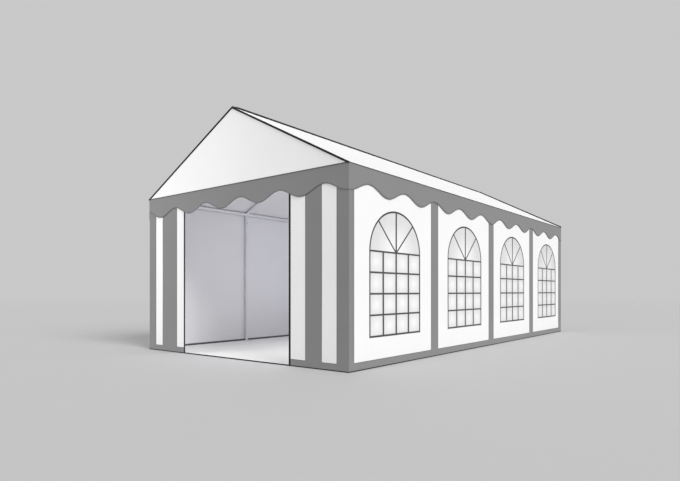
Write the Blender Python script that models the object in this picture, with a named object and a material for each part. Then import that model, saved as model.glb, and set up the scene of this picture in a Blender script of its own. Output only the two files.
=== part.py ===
"""A party marquee, four bays long, with a ridged roof.

A frame of round tubes stands on foot plates and carries a roof cover with scalloped
valances, wall panels with arched windows on the right side, plain panels on the left,
an open doorway in front and a closed one behind.
Metres, +Z up, the front towards -Y, the origin on the ground in the middle.
"""

import math

import bmesh
import bpy
from mathutils import Vector

# Overall sizes
width = 4.0
bay_length = 2.0
bay_count = 4
eave_height = 2.38
ridge_height = 3.425

# Cover
cover_thickness = 0.004
film_thickness = 0.002
valance_drop = 0.26
valance_wave = 0.057
front_wave_pitch = 0.735
side_wave_pitch = 0.8
wave_steps = 12

# Doorways
doorway_width = 2.155
door_roll_radius = 0.033

# Windows
window_width = 1.17
window_sill = 0.375
window_spring = 1.405
window_rise = 0.515
window_lap = 0.025
arch_steps = 20

# Frame
tube_radius = 0.025
fitting_wall = 0.004
fitting_reach = 0.20
socket_depth = 0.07
foot_plate_side = 0.12
foot_plate_thickness = 0.006
tube_sides = 16

# Groundsheet
groundsheet_thickness = 0.003
notch_clearance = 0.004

# Fits
seat_gap = 0.0003
cutter_margin = 0.01

# Worked out from the sizes above
half_width = width / 2
half_length = bay_count * bay_length / 2
fitting_radius = tube_radius + fitting_wall
tube_start = fitting_reach - socket_depth + seat_gap

# The layers of an upright side, from the valance inwards: valance, wall, frame
layer_step = cover_thickness + seat_gap
wall_outer_x = half_width - layer_step
wall_outer_y = half_length - layer_step
frame_outer_x = wall_outer_x - layer_step
frame_outer_y = wall_outer_y - layer_step
leg_x = frame_outer_x - fitting_radius
end_frame_y = frame_outer_y - fitting_radius

# The roof's slope, and the tubes that lie just below it
roof_pitch = math.atan2(ridge_height - eave_height, half_width)
roof_drop = cover_thickness / math.cos(roof_pitch)
ridge_axis_z = ridge_height - roof_drop - (fitting_radius + seat_gap) / math.cos(roof_pitch)
eave_axis_z = ridge_axis_z - leg_x * math.tan(roof_pitch)
wall_top = eave_axis_z

SIDES = {"right": 1, "left": -1}
ENDS = {"front": -1, "back": 1}
FACING_FRONT = (math.radians(90), 0, 0)
FACING_SIDE = (math.radians(90), 0, math.radians(90))


def clear_scene():
    """Remove what the scene holds."""
    for item in list(bpy.data.objects):
        bpy.data.objects.remove(item, do_unlink=True)


def new_collection(name):
    """Make a collection in the scene."""
    collection = bpy.data.collections.new(name)
    bpy.context.scene.collection.children.link(collection)
    return collection


def new_material(name, color, roughness, alpha=1.0):
    """Make a Principled material."""
    material = bpy.data.materials.new(name)
    material.use_nodes = True
    shader = material.node_tree.nodes["Principled BSDF"]
    shader.inputs["Base Color"].default_value = (*color, 1.0)
    shader.inputs["Roughness"].default_value = roughness
    shader.inputs["Alpha"].default_value = alpha
    return material


def place(item, collection, material=None, location=(0, 0, 0), rotation=(0, 0, 0)):
    """Link an object, give it its material and put it in its place."""
    collection.objects.link(item)
    if material is not None:
        item.data.materials.append(material)
    item.location = location
    item.rotation_euler = rotation
    return item


def as_cutter(item):
    """Mark an object as one that only shapes another."""
    item.hide_render = True
    item.display_type = "WIRE"
    return item


def box(name, size, centre, collection, material=None):
    """Make a box of the given size about its centre."""
    mesh = bpy.data.meshes.new(name)
    shape = bmesh.new()
    bmesh.ops.create_cube(shape, size=1.0)
    bmesh.ops.scale(shape, vec=size, verts=shape.verts)
    shape.to_mesh(mesh)
    shape.free()
    return place(bpy.data.objects.new(name, mesh), collection, material, centre)


def tube(name, start, end, radius, collection, material=None):
    """Make a round bar from start to end."""
    run = Vector(end) - Vector(start)
    mesh = bpy.data.meshes.new(name)
    shape = bmesh.new()
    bmesh.ops.create_cone(
        shape,
        cap_ends=True,
        segments=tube_sides,
        radius1=radius,
        radius2=radius,
        depth=run.length,
    )
    shape.to_mesh(mesh)
    shape.free()
    mesh.shade_smooth()
    mesh.set_sharp_from_angle(angle=math.radians(40))
    centre = Vector(start) + run / 2
    turn = run.to_track_quat("Z", "Y").to_euler()
    return place(bpy.data.objects.new(name, mesh), collection, material, centre, turn)


def flat_panel(name, outlines, thickness, centre, turn, collection, material):
    """Make a flat sheet from closed outlines, of which the first is its edge."""
    curve = bpy.data.curves.new(name, "CURVE")
    curve.dimensions = "2D"
    curve.fill_mode = "BOTH"
    curve.extrude = thickness / 2
    for outline in outlines:
        spline = curve.splines.new("POLY")
        spline.points.add(len(outline) - 1)
        for point, (across, up) in zip(spline.points, outline):
            point.co = (across, up, 0, 1)
        spline.use_cyclic_u = True
    return place(bpy.data.objects.new(name, curve), collection, material, centre, turn)


def boolean(item, operation, operands):
    """Join or cut an object with a whole collection of others."""
    modifier = item.modifiers.new(operation.lower(), "BOOLEAN")
    modifier.operation = operation
    modifier.solver = "EXACT"
    modifier.operand_type = "COLLECTION"
    modifier.collection = operands


def cutter_collection(name, cutters):
    """Make a collection of operands inside the cutters' collection."""
    collection = bpy.data.collections.new(name)
    cutters.children.link(collection)
    return collection


def rectangle(low, high, bottom, top):
    """The outline of a rectangle."""
    return [(low, bottom), (high, bottom), (high, top), (low, top)]


def arch(centre, lap=0.0):
    """The outline of an arched window: a rectangle under half an ellipse."""
    half = window_width / 2 + lap
    rise = window_rise + lap
    outline = [(centre - half, window_sill - lap), (centre + half, window_sill - lap)]
    for step in range(arch_steps + 1):
        angle = math.pi * step / arch_steps
        outline.append((centre + half * math.cos(angle), window_spring + rise * math.sin(angle)))
    return outline


def wavy_strip(low, high, top, lobe_at, pitch):
    """The outline of a valance: straight on top, a cosine wave below with a lobe at lobe_at."""
    middle = eave_height - valance_drop
    count = math.ceil((high - low) / pitch * wave_steps)
    outline = [(high, top), (low, top)]
    for step in range(count + 1):
        across = low + (high - low) * step / count
        phase = 2 * math.pi * (across - lobe_at) / pitch
        outline.append((across, middle - valance_wave * math.cos(phase)))
    return outline


def frame_stations():
    """The places along Y of the upright frames: the outer two stand inside the end walls."""
    between = [-half_length + bay * bay_length for bay in range(1, bay_count)]
    return [-end_frame_y, *between, end_frame_y]


def is_end(station):
    """Whether a frame stands in an end wall."""
    return abs(station) == end_frame_y


def hub_span(station):
    """The stretch of a fitting's lengthwise sleeve."""
    low = max(station - fitting_reach, -frame_outer_y)
    high = min(station + fitting_reach, frame_outer_y)
    return low, high


def foot_plate_centre(side, station):
    """The middle of a foot plate, which lies inside the walls."""
    half = foot_plate_side / 2
    inside = min(max(station, half - frame_outer_y), frame_outer_y - half)
    return side * (frame_outer_x - half), inside


def add_arm(name, hub, direction, sleeves, bores):
    """Add one socket of a fitting: a sleeve from the hub, and the bore in its end."""
    hub = Vector(hub)
    direction = Vector(direction).normalized()
    mouth = hub + direction * fitting_reach
    floor = mouth - direction * socket_depth
    beyond = mouth + direction * cutter_margin
    as_cutter(tube(name + "_sleeve", hub, mouth, fitting_radius, sleeves))
    as_cutter(tube(name + "_bore", floor, beyond, tube_radius + seat_gap, bores))


def rafter_direction(side):
    """The way a rafter runs from the ridge down to a side."""
    return Vector((side * math.cos(roof_pitch), 0, -math.sin(roof_pitch)))


def add_eave_rail(side_name, parts, cutters, steel):
    """The tube along one eave, with a fitting at each frame for its leg and rafter."""
    side = SIDES[side_name]
    name = f"eave_rail_{side_name}"
    sleeves = cutter_collection(name + "_sleeves", cutters)
    bores = cutter_collection(name + "_bores", cutters)
    ends = [(side * leg_x, y, eave_axis_z) for y in (-frame_outer_y, frame_outer_y)]
    rail = tube(name, *ends, tube_radius, parts, steel)
    for number, station in enumerate(frame_stations(), 1):
        hub = (side * leg_x, station, eave_axis_z)
        low, high = hub_span(station)
        start = (side * leg_x, low, eave_axis_z)
        end = (side * leg_x, high, eave_axis_z)
        as_cutter(tube(f"{name}_hub_{number}", start, end, fitting_radius, sleeves))
        add_arm(f"{name}_leg_{number}", hub, (0, 0, -1), sleeves, bores)
        add_arm(f"{name}_rafter_{number}", hub, -rafter_direction(side), sleeves, bores)
        if is_end(station):
            add_arm(f"{name}_tie_{number}", hub, (-side, 0, 0), sleeves, bores)
    boolean(rail, "UNION", sleeves)
    boolean(rail, "DIFFERENCE", bores)


def add_ridge_rail(parts, cutters, steel):
    """The tube along the ridge, with a fitting at each frame for its two rafters."""
    name = "ridge_rail"
    sleeves = cutter_collection(name + "_sleeves", cutters)
    bores = cutter_collection(name + "_bores", cutters)
    ends = [(0, y, ridge_axis_z) for y in (-frame_outer_y, frame_outer_y)]
    rail = tube(name, *ends, tube_radius, parts, steel)
    for number, station in enumerate(frame_stations(), 1):
        hub = (0, station, ridge_axis_z)
        low, high = hub_span(station)
        start = (0, low, ridge_axis_z)
        end = (0, high, ridge_axis_z)
        as_cutter(tube(f"{name}_hub_{number}", start, end, fitting_radius, sleeves))
        for side_name, side in SIDES.items():
            add_arm(f"{name}_{side_name}_{number}", hub, rafter_direction(side), sleeves, bores)
    boolean(rail, "UNION", sleeves)
    boolean(rail, "DIFFERENCE", bores)


def add_legs(side_name, parts, cutters, steel):
    """The upright tubes of one side, each welded to its foot plate."""
    side = SIDES[side_name]
    for number, station in enumerate(frame_stations(), 1):
        name = f"leg_{side_name}_{number}"
        foot = (side * leg_x, station, 0)
        head = (side * leg_x, station, eave_axis_z - tube_start)
        leg = tube(name, foot, head, tube_radius, parts, steel)
        plates = cutter_collection(name + "_foot", cutters)
        plate_size = (foot_plate_side, foot_plate_side, foot_plate_thickness)
        plate_place = (*foot_plate_centre(side, station), foot_plate_thickness / 2)
        as_cutter(box(name + "_plate", plate_size, plate_place, plates))
        boolean(leg, "UNION", plates)


def add_rafters(side_name, parts, steel):
    """The sloping tubes of one side, between the ridge and the eave fittings."""
    run = rafter_direction(SIDES[side_name])
    slope_length = leg_x / math.cos(roof_pitch)
    for number, station in enumerate(frame_stations(), 1):
        ridge = Vector((0, station, ridge_axis_z))
        upper = ridge + run * tube_start
        lower = ridge + run * (slope_length - tube_start)
        tube(f"rafter_{side_name}_{number}", lower, upper, tube_radius, parts, steel)


def add_tie_beams(parts, steel):
    """The level tube across each end, between the two corner fittings."""
    reach = leg_x - tube_start
    for end_name, end in ENDS.items():
        y = end * end_frame_y
        start = (-reach, y, eave_axis_z)
        finish = (reach, y, eave_axis_z)
        tube(f"{end_name}_tie_beam", start, finish, tube_radius, parts, steel)


def add_roof(parts, white):
    """The ridged roof sheet, and the gable panel sewn to each of its ends."""
    eave_under = eave_height - roof_drop
    profile = [
        (-half_width, eave_height),
        (-half_width, eave_under),
        (0, ridge_height - roof_drop),
        (half_width, eave_under),
        (half_width, eave_height),
        (0, ridge_height),
    ]
    roof_length = 2 * wall_outer_y
    flat_panel("roof_cover", [profile], roof_length, (0, 0, 0), FACING_FRONT, parts, white)
    triangle = [(-half_width, eave_height), (half_width, eave_height), (0, ridge_height)]
    for end_name, end in ENDS.items():
        centre = (0, end * (half_length - cover_thickness / 2), 0)
        flat_panel(
            f"gable_{end_name}", [triangle], cover_thickness, centre, FACING_FRONT, parts, white
        )


def add_valances(parts, grey):
    """The scalloped strip below each eave and each gable."""
    top = eave_height - seat_gap
    strip = wavy_strip(-half_width, half_width, top, half_width, front_wave_pitch)
    for end_name, end in ENDS.items():
        centre = (0, end * (half_length - cover_thickness / 2), 0)
        flat_panel(
            f"valance_{end_name}", [strip], cover_thickness, centre, FACING_FRONT, parts, grey
        )
    top = eave_height - roof_drop - seat_gap
    strip = wavy_strip(-wall_outer_y, wall_outer_y, top, half_length, side_wave_pitch)
    for side_name, side in SIDES.items():
        centre = (side * (half_width - cover_thickness / 2), 0, 0)
        flat_panel(
            f"valance_{side_name}", [strip], cover_thickness, centre, FACING_SIDE, parts, grey
        )


def bay_span(bay):
    """The stretch along Y of one bay's wall panel."""
    low = -half_length + bay * bay_length
    high = low + bay_length
    low = -wall_outer_y if bay == 0 else low + seat_gap / 2
    high = wall_outer_y if bay == bay_count - 1 else high - seat_gap / 2
    return low, high


def add_side_walls(parts, white, film):
    """The panels of both sides: with windows on the right, plain on the left."""
    wall_x = wall_outer_x - cover_thickness / 2
    film_x = frame_outer_x - film_thickness / 2
    for bay in range(bay_count):
        number = bay + 1
        low, high = bay_span(bay)
        middle = -half_length + (bay + 0.5) * bay_length
        sheet = rectangle(low, high, 0, wall_top)
        flat_panel(
            f"wall_right_{number}",
            [sheet, arch(middle)],
            cover_thickness,
            (wall_x, 0, 0),
            FACING_SIDE,
            parts,
            white,
        )
        flat_panel(
            f"window_right_{number}",
            [arch(middle, window_lap)],
            film_thickness,
            (film_x, 0, 0),
            FACING_SIDE,
            parts,
            film,
        )
        flat_panel(
            f"wall_left_{number}",
            [sheet],
            cover_thickness,
            (-wall_x, 0, 0),
            FACING_SIDE,
            parts,
            white,
        )


def add_end_walls(parts, white):
    """The panels beside both doorways, and the door panel that closes the back one."""
    half_door = doorway_width / 2
    for end_name, end in ENDS.items():
        centre = (0, end * (wall_outer_y - cover_thickness / 2), 0)
        for side_name, side in SIDES.items():
            low, high = sorted((side * half_door, side * frame_outer_x))
            sheet = rectangle(low, high, 0, wall_top)
            name = f"{end_name}_wall_{side_name}"
            flat_panel(name, [sheet], cover_thickness, centre, FACING_FRONT, parts, white)
    inner = half_door - seat_gap
    sheet = rectangle(-inner, inner, 0, wall_top)
    flat_panel("back_door", [sheet], cover_thickness, centre, FACING_FRONT, parts, white)


def add_door_roll(parts, white):
    """The front door panel, rolled up and held against the tie beam from below."""
    half_roll = doorway_width / 2 - seat_gap
    roll_y = -(frame_outer_y - door_roll_radius)
    offset = roll_y + end_frame_y
    reach = tube_radius + door_roll_radius + seat_gap
    roll_z = eave_axis_z - math.sqrt(reach**2 - offset**2)
    start = (-half_roll, roll_y, roll_z)
    end = (half_roll, roll_y, roll_z)
    tube("door_roll", start, end, door_roll_radius, parts, white)


def add_groundsheet(parts, cutters, pale):
    """The sheet on the ground, from wall to wall, notched round the foot plates."""
    size = (2 * frame_outer_x, 2 * frame_outer_y, groundsheet_thickness)
    sheet = box("groundsheet", size, (0, 0, groundsheet_thickness / 2), parts, pale)
    notches = cutter_collection("groundsheet_notches", cutters)
    side = foot_plate_side + 2 * notch_clearance
    notch_size = (side, side, 4 * groundsheet_thickness)
    for side_name, sign in SIDES.items():
        for number, station in enumerate(frame_stations(), 1):
            centre = (*foot_plate_centre(sign, station), 0)
            as_cutter(box(f"notch_{side_name}_{number}", notch_size, centre, notches))
    boolean(sheet, "DIFFERENCE", notches)


def build_marquee():
    """Build the whole marquee."""
    clear_scene()
    parts = new_collection("marquee")
    cutters = new_collection("cutters")

    steel = new_material("coated_steel", (0.8, 0.8, 0.82), 0.4)
    white = new_material("white_cover", (0.82, 0.82, 0.82), 0.5)
    grey = new_material("grey_cover", (0.2, 0.2, 0.21), 0.5)
    film = new_material("milky_film", (0.93, 0.93, 0.93), 0.18, alpha=0.85)
    pale = new_material("pale_groundsheet", (0.8, 0.8, 0.78), 0.6)

    for side_name in SIDES:
        add_legs(side_name, parts, cutters, steel)
        add_rafters(side_name, parts, steel)
        add_eave_rail(side_name, parts, cutters, steel)
    add_ridge_rail(parts, cutters, steel)
    add_tie_beams(parts, steel)
    add_roof(parts, white)
    add_valances(parts, grey)
    add_side_walls(parts, white, film)
    add_end_walls(parts, white)
    add_door_roll(parts, white)
    add_groundsheet(parts, cutters, pale)


build_marquee()
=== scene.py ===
"""The looks of a four-bay party marquee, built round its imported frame.

Coated sheets hang on a frame of painted tubes: a ridged roof with piped edges,
scalloped valances, wall panels with welded stripes, arched film windows with glazing
bars, a doorway between two open zips, and a groundsheet.
Metres, +Z up, the front towards -Y.
"""

import logging
import math
from collections.abc import Sequence
from dataclasses import dataclass
from enum import Enum

import bpy
import numpy as np
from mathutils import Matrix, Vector


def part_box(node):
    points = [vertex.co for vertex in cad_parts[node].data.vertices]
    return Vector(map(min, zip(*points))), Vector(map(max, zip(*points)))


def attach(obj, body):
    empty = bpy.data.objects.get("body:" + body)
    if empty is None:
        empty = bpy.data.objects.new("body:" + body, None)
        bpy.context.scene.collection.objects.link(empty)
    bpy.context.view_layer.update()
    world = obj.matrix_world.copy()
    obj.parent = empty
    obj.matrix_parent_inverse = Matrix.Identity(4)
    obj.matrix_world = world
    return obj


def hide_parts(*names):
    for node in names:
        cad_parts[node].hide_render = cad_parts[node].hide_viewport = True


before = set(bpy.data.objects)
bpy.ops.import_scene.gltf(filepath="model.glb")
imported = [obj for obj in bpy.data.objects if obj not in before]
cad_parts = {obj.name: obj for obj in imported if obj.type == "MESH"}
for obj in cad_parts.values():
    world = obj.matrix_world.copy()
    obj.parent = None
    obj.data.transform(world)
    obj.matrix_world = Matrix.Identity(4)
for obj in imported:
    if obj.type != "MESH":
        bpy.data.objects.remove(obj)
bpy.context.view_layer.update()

Array = np.ndarray
Number = float | Array
Place = tuple[float, float, float]
Color = tuple[float, float, float]
# A noise texture's scale and detail
Noise = tuple[float, float]
Piece = Light = bpy.types.Object
Socket = bpy.types.NodeSocket

log = logging.getLogger("marquee")
BODY = "root"
BAYS = 4
SHEET_THICKNESS = 0.0008
SHARP_EDGE = 35.0
FULL_TURN = 2.0 * math.pi
TINY = 1e-12
X_AXIS, Y_AXIS, Z_AXIS = np.eye(3)

# Grid lines nearer to an exact one than this share of a step give way to it
CLOSE_LINE = 0.25
# A tape's bevel, as a share of its height or its half width, whichever is less
TAPE_BEVEL = 0.6
# The width of a block's top, as a share of its foot's
BLOCK_TOP = 0.8
# A stud's rings from foot to top: share of the radius, and share of the height
STUD_RINGS = ((1.0, 0.0), (1.0, 0.8), (0.86, 1.0))
# A direction whose rise is more than this counts as upright
UPRIGHT = 0.9
LOOP_SIDES = 24

# Places of a colour Mix node's sockets: share, first and second colour, and the result
MIX_INPUTS = (0, 6, 7)
MIX_RESULT = 2
# The noise that breaks up the dust
DUST_NOISE = (9.0, 5.0)


class Face(Enum):
    """The four upright faces, each with the level direction that runs to the right on it."""

    FRONT = (1, 0)
    BACK = (-1, 0)
    RIGHT = (0, 1)
    LEFT = (0, -1)

    @property
    def is_end(self) -> bool:
        """Whether it is one of the marquee's two ends."""
        return self in (Face.FRONT, Face.BACK)


class Slot(Enum):
    """The material slots."""

    STEEL = "frame_steel"
    WHITE = "cover_white"
    GREY = "cover_grey"
    FILM = "window_film"
    GROUND = "groundsheet_pale"
    TRIM = "dark_trim"


# Surfaces as arrays


@dataclass(frozen=True)
class Patch:
    """One surface: points (n, 3), faces by their count of corners, and flat cloth places (n, 2)."""

    points: Array
    faces: tuple[Array, ...]
    flat: Array

    @staticmethod
    def joined(patches: Sequence["Patch"]) -> "Patch":
        """Put several surfaces into one, with their corner numbers moved along.

        Args:
            patches: The surfaces.

        Returns:
            One surface that holds them all.
        """
        starts = np.cumsum([0] + [len(patch.points) for patch in patches])
        faces = tuple(
            group + start for patch, start in zip(patches, starts) for group in patch.faces
        )
        points = np.concatenate([patch.points for patch in patches])
        return Patch(points, faces, np.concatenate([patch.flat for patch in patches]))

    def turned(self) -> "Patch":
        """The same surface, facing the other way."""
        return Patch(self.points, tuple(group[:, ::-1] for group in self.faces), self.flat)

    def thickened(self, thickness: float) -> "Patch":
        """Turn an open surface into a closed thin one.

        The second layer lies at each point minus thickness times the mean normal of the
        faces round it, and each edge that only one face has becomes a rim face.

        Args:
            thickness: How far the second layer lies behind the first.

        Returns:
            The closed surface.
        """
        count = len(self.points)
        normals = np.zeros_like(self.points)
        edges = []
        for group in self.faces:
            corners = self.points[group]
            facing = np.cross(corners[:, 2] - corners[:, 0], corners[:, -1] - corners[:, 1])
            for column in range(group.shape[1]):
                np.add.at(normals, group[:, column], facing)
            edges.append(np.stack([group, np.roll(group, -1, axis=1)], axis=-1).reshape(-1, 2))
        run = np.concatenate(edges)
        lone = ~np.isin(run[:, 0] * count + run[:, 1], run[:, 1] * count + run[:, 0])
        start, end = run[lone].T
        rim = np.stack([end, start, start + count, end + count], axis=-1)
        behind = self.points - thickness * unit(normals)
        back = tuple(group + count for group in self.turned().faces)
        return Patch(
            np.concatenate([self.points, behind]),
            (*self.faces, *back, rim),
            np.concatenate([self.flat, self.flat]),
        )


def unit(vectors: Array) -> Array:
    """Scale vectors to a length of one."""
    return vectors / np.maximum(np.linalg.norm(vectors, axis=-1, keepdims=True), TINY)


def points_of(*numbers: Number) -> Array:
    """Put numbers side by side on a last axis, as points or as flat cloth places."""
    return np.stack(np.broadcast_arrays(*numbers), axis=-1)


def smooth(values: Array) -> Array:
    """Ease values from 0 to 1: three times the square minus twice the cube."""
    held = np.clip(values, 0.0, 1.0)
    return held * held * (3.0 - 2.0 * held)


def even_turns(count: int) -> Array:
    """Angles spaced evenly round a full turn."""
    return np.arange(count) * FULL_TURN / count


def lines(low: float, high: float, step: float, extra: Sequence[float] = ()) -> Array:
    """Places of grid lines from low to high, about a step apart, with extra ones kept exactly.

    Args:
        low: The first line.
        high: The last line.
        step: The widest distance between evenly spaced lines.
        extra: Lines that have to be there, such as the edges of a strip.

    Returns:
        The sorted places.
    """
    even = np.linspace(low, high, max(2, math.ceil((high - low) / step) + 1))
    kept = np.array([place for place in extra if low < place < high])
    if len(kept):
        far = np.abs(even[:, None] - kept).min(axis=1) > CLOSE_LINE * step
        far[[0, -1]] = True
        even = np.sort(np.concatenate([even[far], kept]))
    return even


def grid(points: Array, flat: Array, around: bool = False, closed: bool = False) -> Patch:
    """Join an array of points (rows, columns, 3) into quads.

    Cell (i, j) has the corners (i, j), (i, j + 1), (i + 1, j + 1) and (i + 1, j).

    Args:
        points: The places.
        flat: The same points' places on the flat cloth.
        around: Whether the last column joins the first.
        closed: Whether the last row joins the first.

    Returns:
        The surface.
    """
    rows, columns = points.shape[:2]
    index = np.arange(rows * columns).reshape(rows, columns)
    if around:
        index = np.concatenate([index, index[:, :1]], axis=1)
    if closed:
        index = np.concatenate([index, index[:1]], axis=0)
    corners = (index[:-1, :-1], index[:-1, 1:], index[1:, 1:], index[1:, :-1])
    faces = np.stack(corners, axis=-1).reshape(-1, 4)
    return Patch(points.reshape(-1, 3), (faces,), flat.reshape(-1, 2))


def thin_sheet(points: Array, along: Array, up: Array) -> Patch:
    """A closed sheet through points (rows, columns, 3), with their places along and up the cloth."""
    return grid(points, points_of(along, up)).thickened(SHEET_THICKNESS)


def sweep(path: Array, section: Array, normal: Array, closed: bool = False) -> Patch:
    """Carry a closed section along a path and close its ends.

    At each point the section's first axis lies along direction x normal and its second
    along the normal. At a corner the cross directions before and after it are added and
    divided by one plus their dot product, which mitres the corner.

    Args:
        path: Points (n, 3).
        section: Points (m, 2), anticlockwise as seen along the path.
        normal: One direction, or one for each point of the path.
        closed: Whether the path's end joins its start.

    Returns:
        The surface.
    """
    after = np.diff(path, axis=0, append=path[:1]) if closed else np.diff(path, axis=0)
    ahead = unit(after if closed else np.concatenate([after, after[-1:]]))
    behind = unit(np.roll(after, 1, axis=0) if closed else np.concatenate([after[:1], after]))
    up = np.broadcast_to(np.asarray(normal, float), path.shape)
    side_ahead = unit(np.cross(ahead, up))
    side_behind = unit(np.cross(behind, up))
    agree = (side_ahead * side_behind).sum(axis=1, keepdims=True)
    side = (side_ahead + side_behind) / (1.0 + agree)
    ring = section[::-1]
    points = path[:, None] + ring[:, :1] * side[:, None] + ring[:, 1:] * up[:, None]
    along = np.concatenate([[0.0], np.cumsum(np.linalg.norm(np.diff(path, axis=0), axis=1))])
    about = np.concatenate([[0.0], np.cumsum(np.linalg.norm(np.diff(ring, axis=0), axis=1))])
    body = grid(points, points_of(along[:, None], about), around=True, closed=closed)
    if closed:
        return body
    last = len(body.points) - len(ring)
    caps = np.stack([np.arange(len(ring))[::-1], last + np.arange(len(ring))])
    return Patch(body.points, (*body.faces, caps), body.flat)


def round_section(radius: float, sides: int = 12) -> Array:
    """A circle as a section."""
    turn = even_turns(sides)
    return radius * points_of(np.cos(turn), np.sin(turn))


def tape_section(width: float, height: float) -> Array:
    """A flat strip with bevelled upper edges, standing on its base line, as a section.

    Args:
        width: From edge to edge.
        height: From its base to its top.

    Returns:
        Its six corners.
    """
    half = width / 2.0
    bevel = min(height, half) * TAPE_BEVEL
    shape = [(-half, 0), (half, 0), (half, height - bevel), (half - bevel, height)]
    shape += [(bevel - half, height), (-half, height - bevel)]
    return np.array(shape, float)


def strap_section(width: float, thickness: float) -> Array:
    """A plain strap, from its inner to its outer face, as a section."""
    corners = np.array([(0.0, -0.5), (1.0, -0.5), (1.0, 0.5), (0.0, 0.5)])
    return corners * (thickness, width)


def arc(centre: Array, radius: float, turns: Array, axis: Array) -> Array:
    """Points on a circle, at angles from its top: the cosine upwards plus the sine along axis x up."""
    turns = turns[:, None]
    return centre + radius * (np.cos(turns) * Z_AXIS + np.sin(turns) * np.cross(axis, Z_AXIS))


def loop(centre: Array, radius: float, section: Array, axis: Array) -> Patch:
    """A strap round a level tube: its section carried round a circle of its inner radius."""
    path = arc(centre, radius, even_turns(LOOP_SIDES), axis)
    return sweep(path, section, axis, closed=True)


def blocks(centres: Array, size: Place, axes: Array) -> Patch:
    """Many small bevelled blocks in one surface, such as a zip's teeth.

    Each block is a box about its centre whose top four corners are drawn in by a fifth.

    Args:
        centres: Middles (n, 3).
        size: Lengths along the three axes.
        axes: Three directions (3, 3), the last one pointing out of the surface.

    Returns:
        The surface.
    """
    corner = np.array([(-1, -1), (1, -1), (1, 1), (-1, 1)], float) / 2.0
    low = np.concatenate([corner, np.full((4, 1), -0.5)], axis=1)
    high = np.concatenate([corner * BLOCK_TOP, np.full((4, 1), 0.5)], axis=1)
    local = np.concatenate([low, high]) * size @ axes
    points = (centres[:, None] + local).reshape(-1, 3)
    quads = [(3, 2, 1, 0), (4, 5, 6, 7), (0, 1, 5, 4), (1, 2, 6, 5), (2, 3, 7, 6), (3, 0, 4, 7)]
    faces = (np.array(quads) + len(local) * np.arange(len(centres))[:, None, None]).reshape(-1, 4)
    return Patch(points, (faces,), points[:, :2].copy())


def studs(places: Array, pointing: Array, radius: float, height: float, sides: int = 6) -> Patch:
    """Many small prisms with a bevelled top, such as bolt heads, in one surface.

    Each has three rings of corners: one at its foot, one at four fifths of its height, and
    one at its top, drawn in by a seventh.

    Args:
        places: The middles of their feet (n, 3).
        pointing: The directions that they stand up in (n, 3).
        radius: From the middle to a corner.
        height: From the foot to the top.
        sides: How many sides each has.

    Returns:
        The surface.
    """
    upright = np.abs(pointing[:, 2:]) > UPRIGHT
    across = unit(np.cross(np.where(upright, X_AXIS, Z_AXIS), pointing))
    beside = np.cross(pointing, across)
    turn = even_turns(sides)[:, None]
    spokes = np.cos(turn) * across[:, None] + np.sin(turn) * beside[:, None]
    rings = [
        places[:, None] + radius * share * spokes + height * rise * pointing[:, None]
        for share, rise in STUD_RINGS
    ]
    points = np.stack(rings, axis=1)
    index = np.arange(points[..., 0].size).reshape(points.shape[:3])
    turned = np.roll(index, -1, axis=2)
    corners = (index[:, :-1], turned[:, :-1], turned[:, 1:], index[:, 1:])
    walls = np.stack(corners, axis=-1).reshape(-1, 4)
    caps = np.concatenate([index[:, 0, ::-1], index[:, -1]])
    points = points.reshape(-1, 3)
    return Patch(points, (walls, caps), points[:, :2].copy())


def link(name: str, data: bpy.types.ID) -> bpy.types.Object:
    """Put a new object into the scene.

    Args:
        name: Its name.
        data: Its mesh, light or camera.

    Returns:
        The object.
    """
    made = bpy.data.objects.new(name, data)
    bpy.context.scene.collection.objects.link(made)
    return made


def make_mesh(name: str, patch: Patch) -> bpy.types.Mesh:
    """Write a surface into a mesh, with its flat places as the UV map.

    Args:
        name: The mesh's name.
        patch: The surface.

    Returns:
        The mesh, shaded smooth but for its sharp edges.
    """
    mesh = bpy.data.meshes.new(name)
    corners = np.concatenate([group.ravel() for group in patch.faces]).astype(np.int32)
    totals = np.concatenate([np.full(len(group), group.shape[1]) for group in patch.faces])
    starts = np.concatenate([[0], np.cumsum(totals)[:-1]]).astype(np.int32)
    mesh.vertices.add(len(patch.points))
    mesh.vertices.foreach_set("co", patch.points.astype(np.float32).ravel())
    mesh.loops.add(len(corners))
    mesh.loops.foreach_set("vertex_index", corners)
    mesh.polygons.add(len(totals))
    mesh.polygons.foreach_set("loop_start", starts)
    uv = mesh.uv_layers.new(name="cloth")
    uv.data.foreach_set("uv", patch.flat[corners].astype(np.float32).ravel())
    mesh.update()
    mesh.validate()
    mesh.shade_smooth()
    mesh.set_sharp_from_angle(angle=math.radians(SHARP_EDGE))
    return mesh


def make_piece(
    name: str, patches: Sequence[Patch], finish: "Finish", replaces: Sequence[str] = ()
) -> Piece:
    """Make one piece of the marquee and fix it to the frame.

    Args:
        name: The piece's name.
        patches: Its closed surfaces.
        finish: What it is made of.
        replaces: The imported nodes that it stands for.

    Returns:
        The new object.
    """
    mesh = make_mesh(name, Patch.joined(patches))
    mesh.materials.append(finish.material())
    piece = link(name, mesh)
    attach(piece, BODY)
    if replaces:
        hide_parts(*replaces)
    log.info("%s: %d faces", name, len(mesh.polygons))
    return piece


# Shader groups


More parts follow.
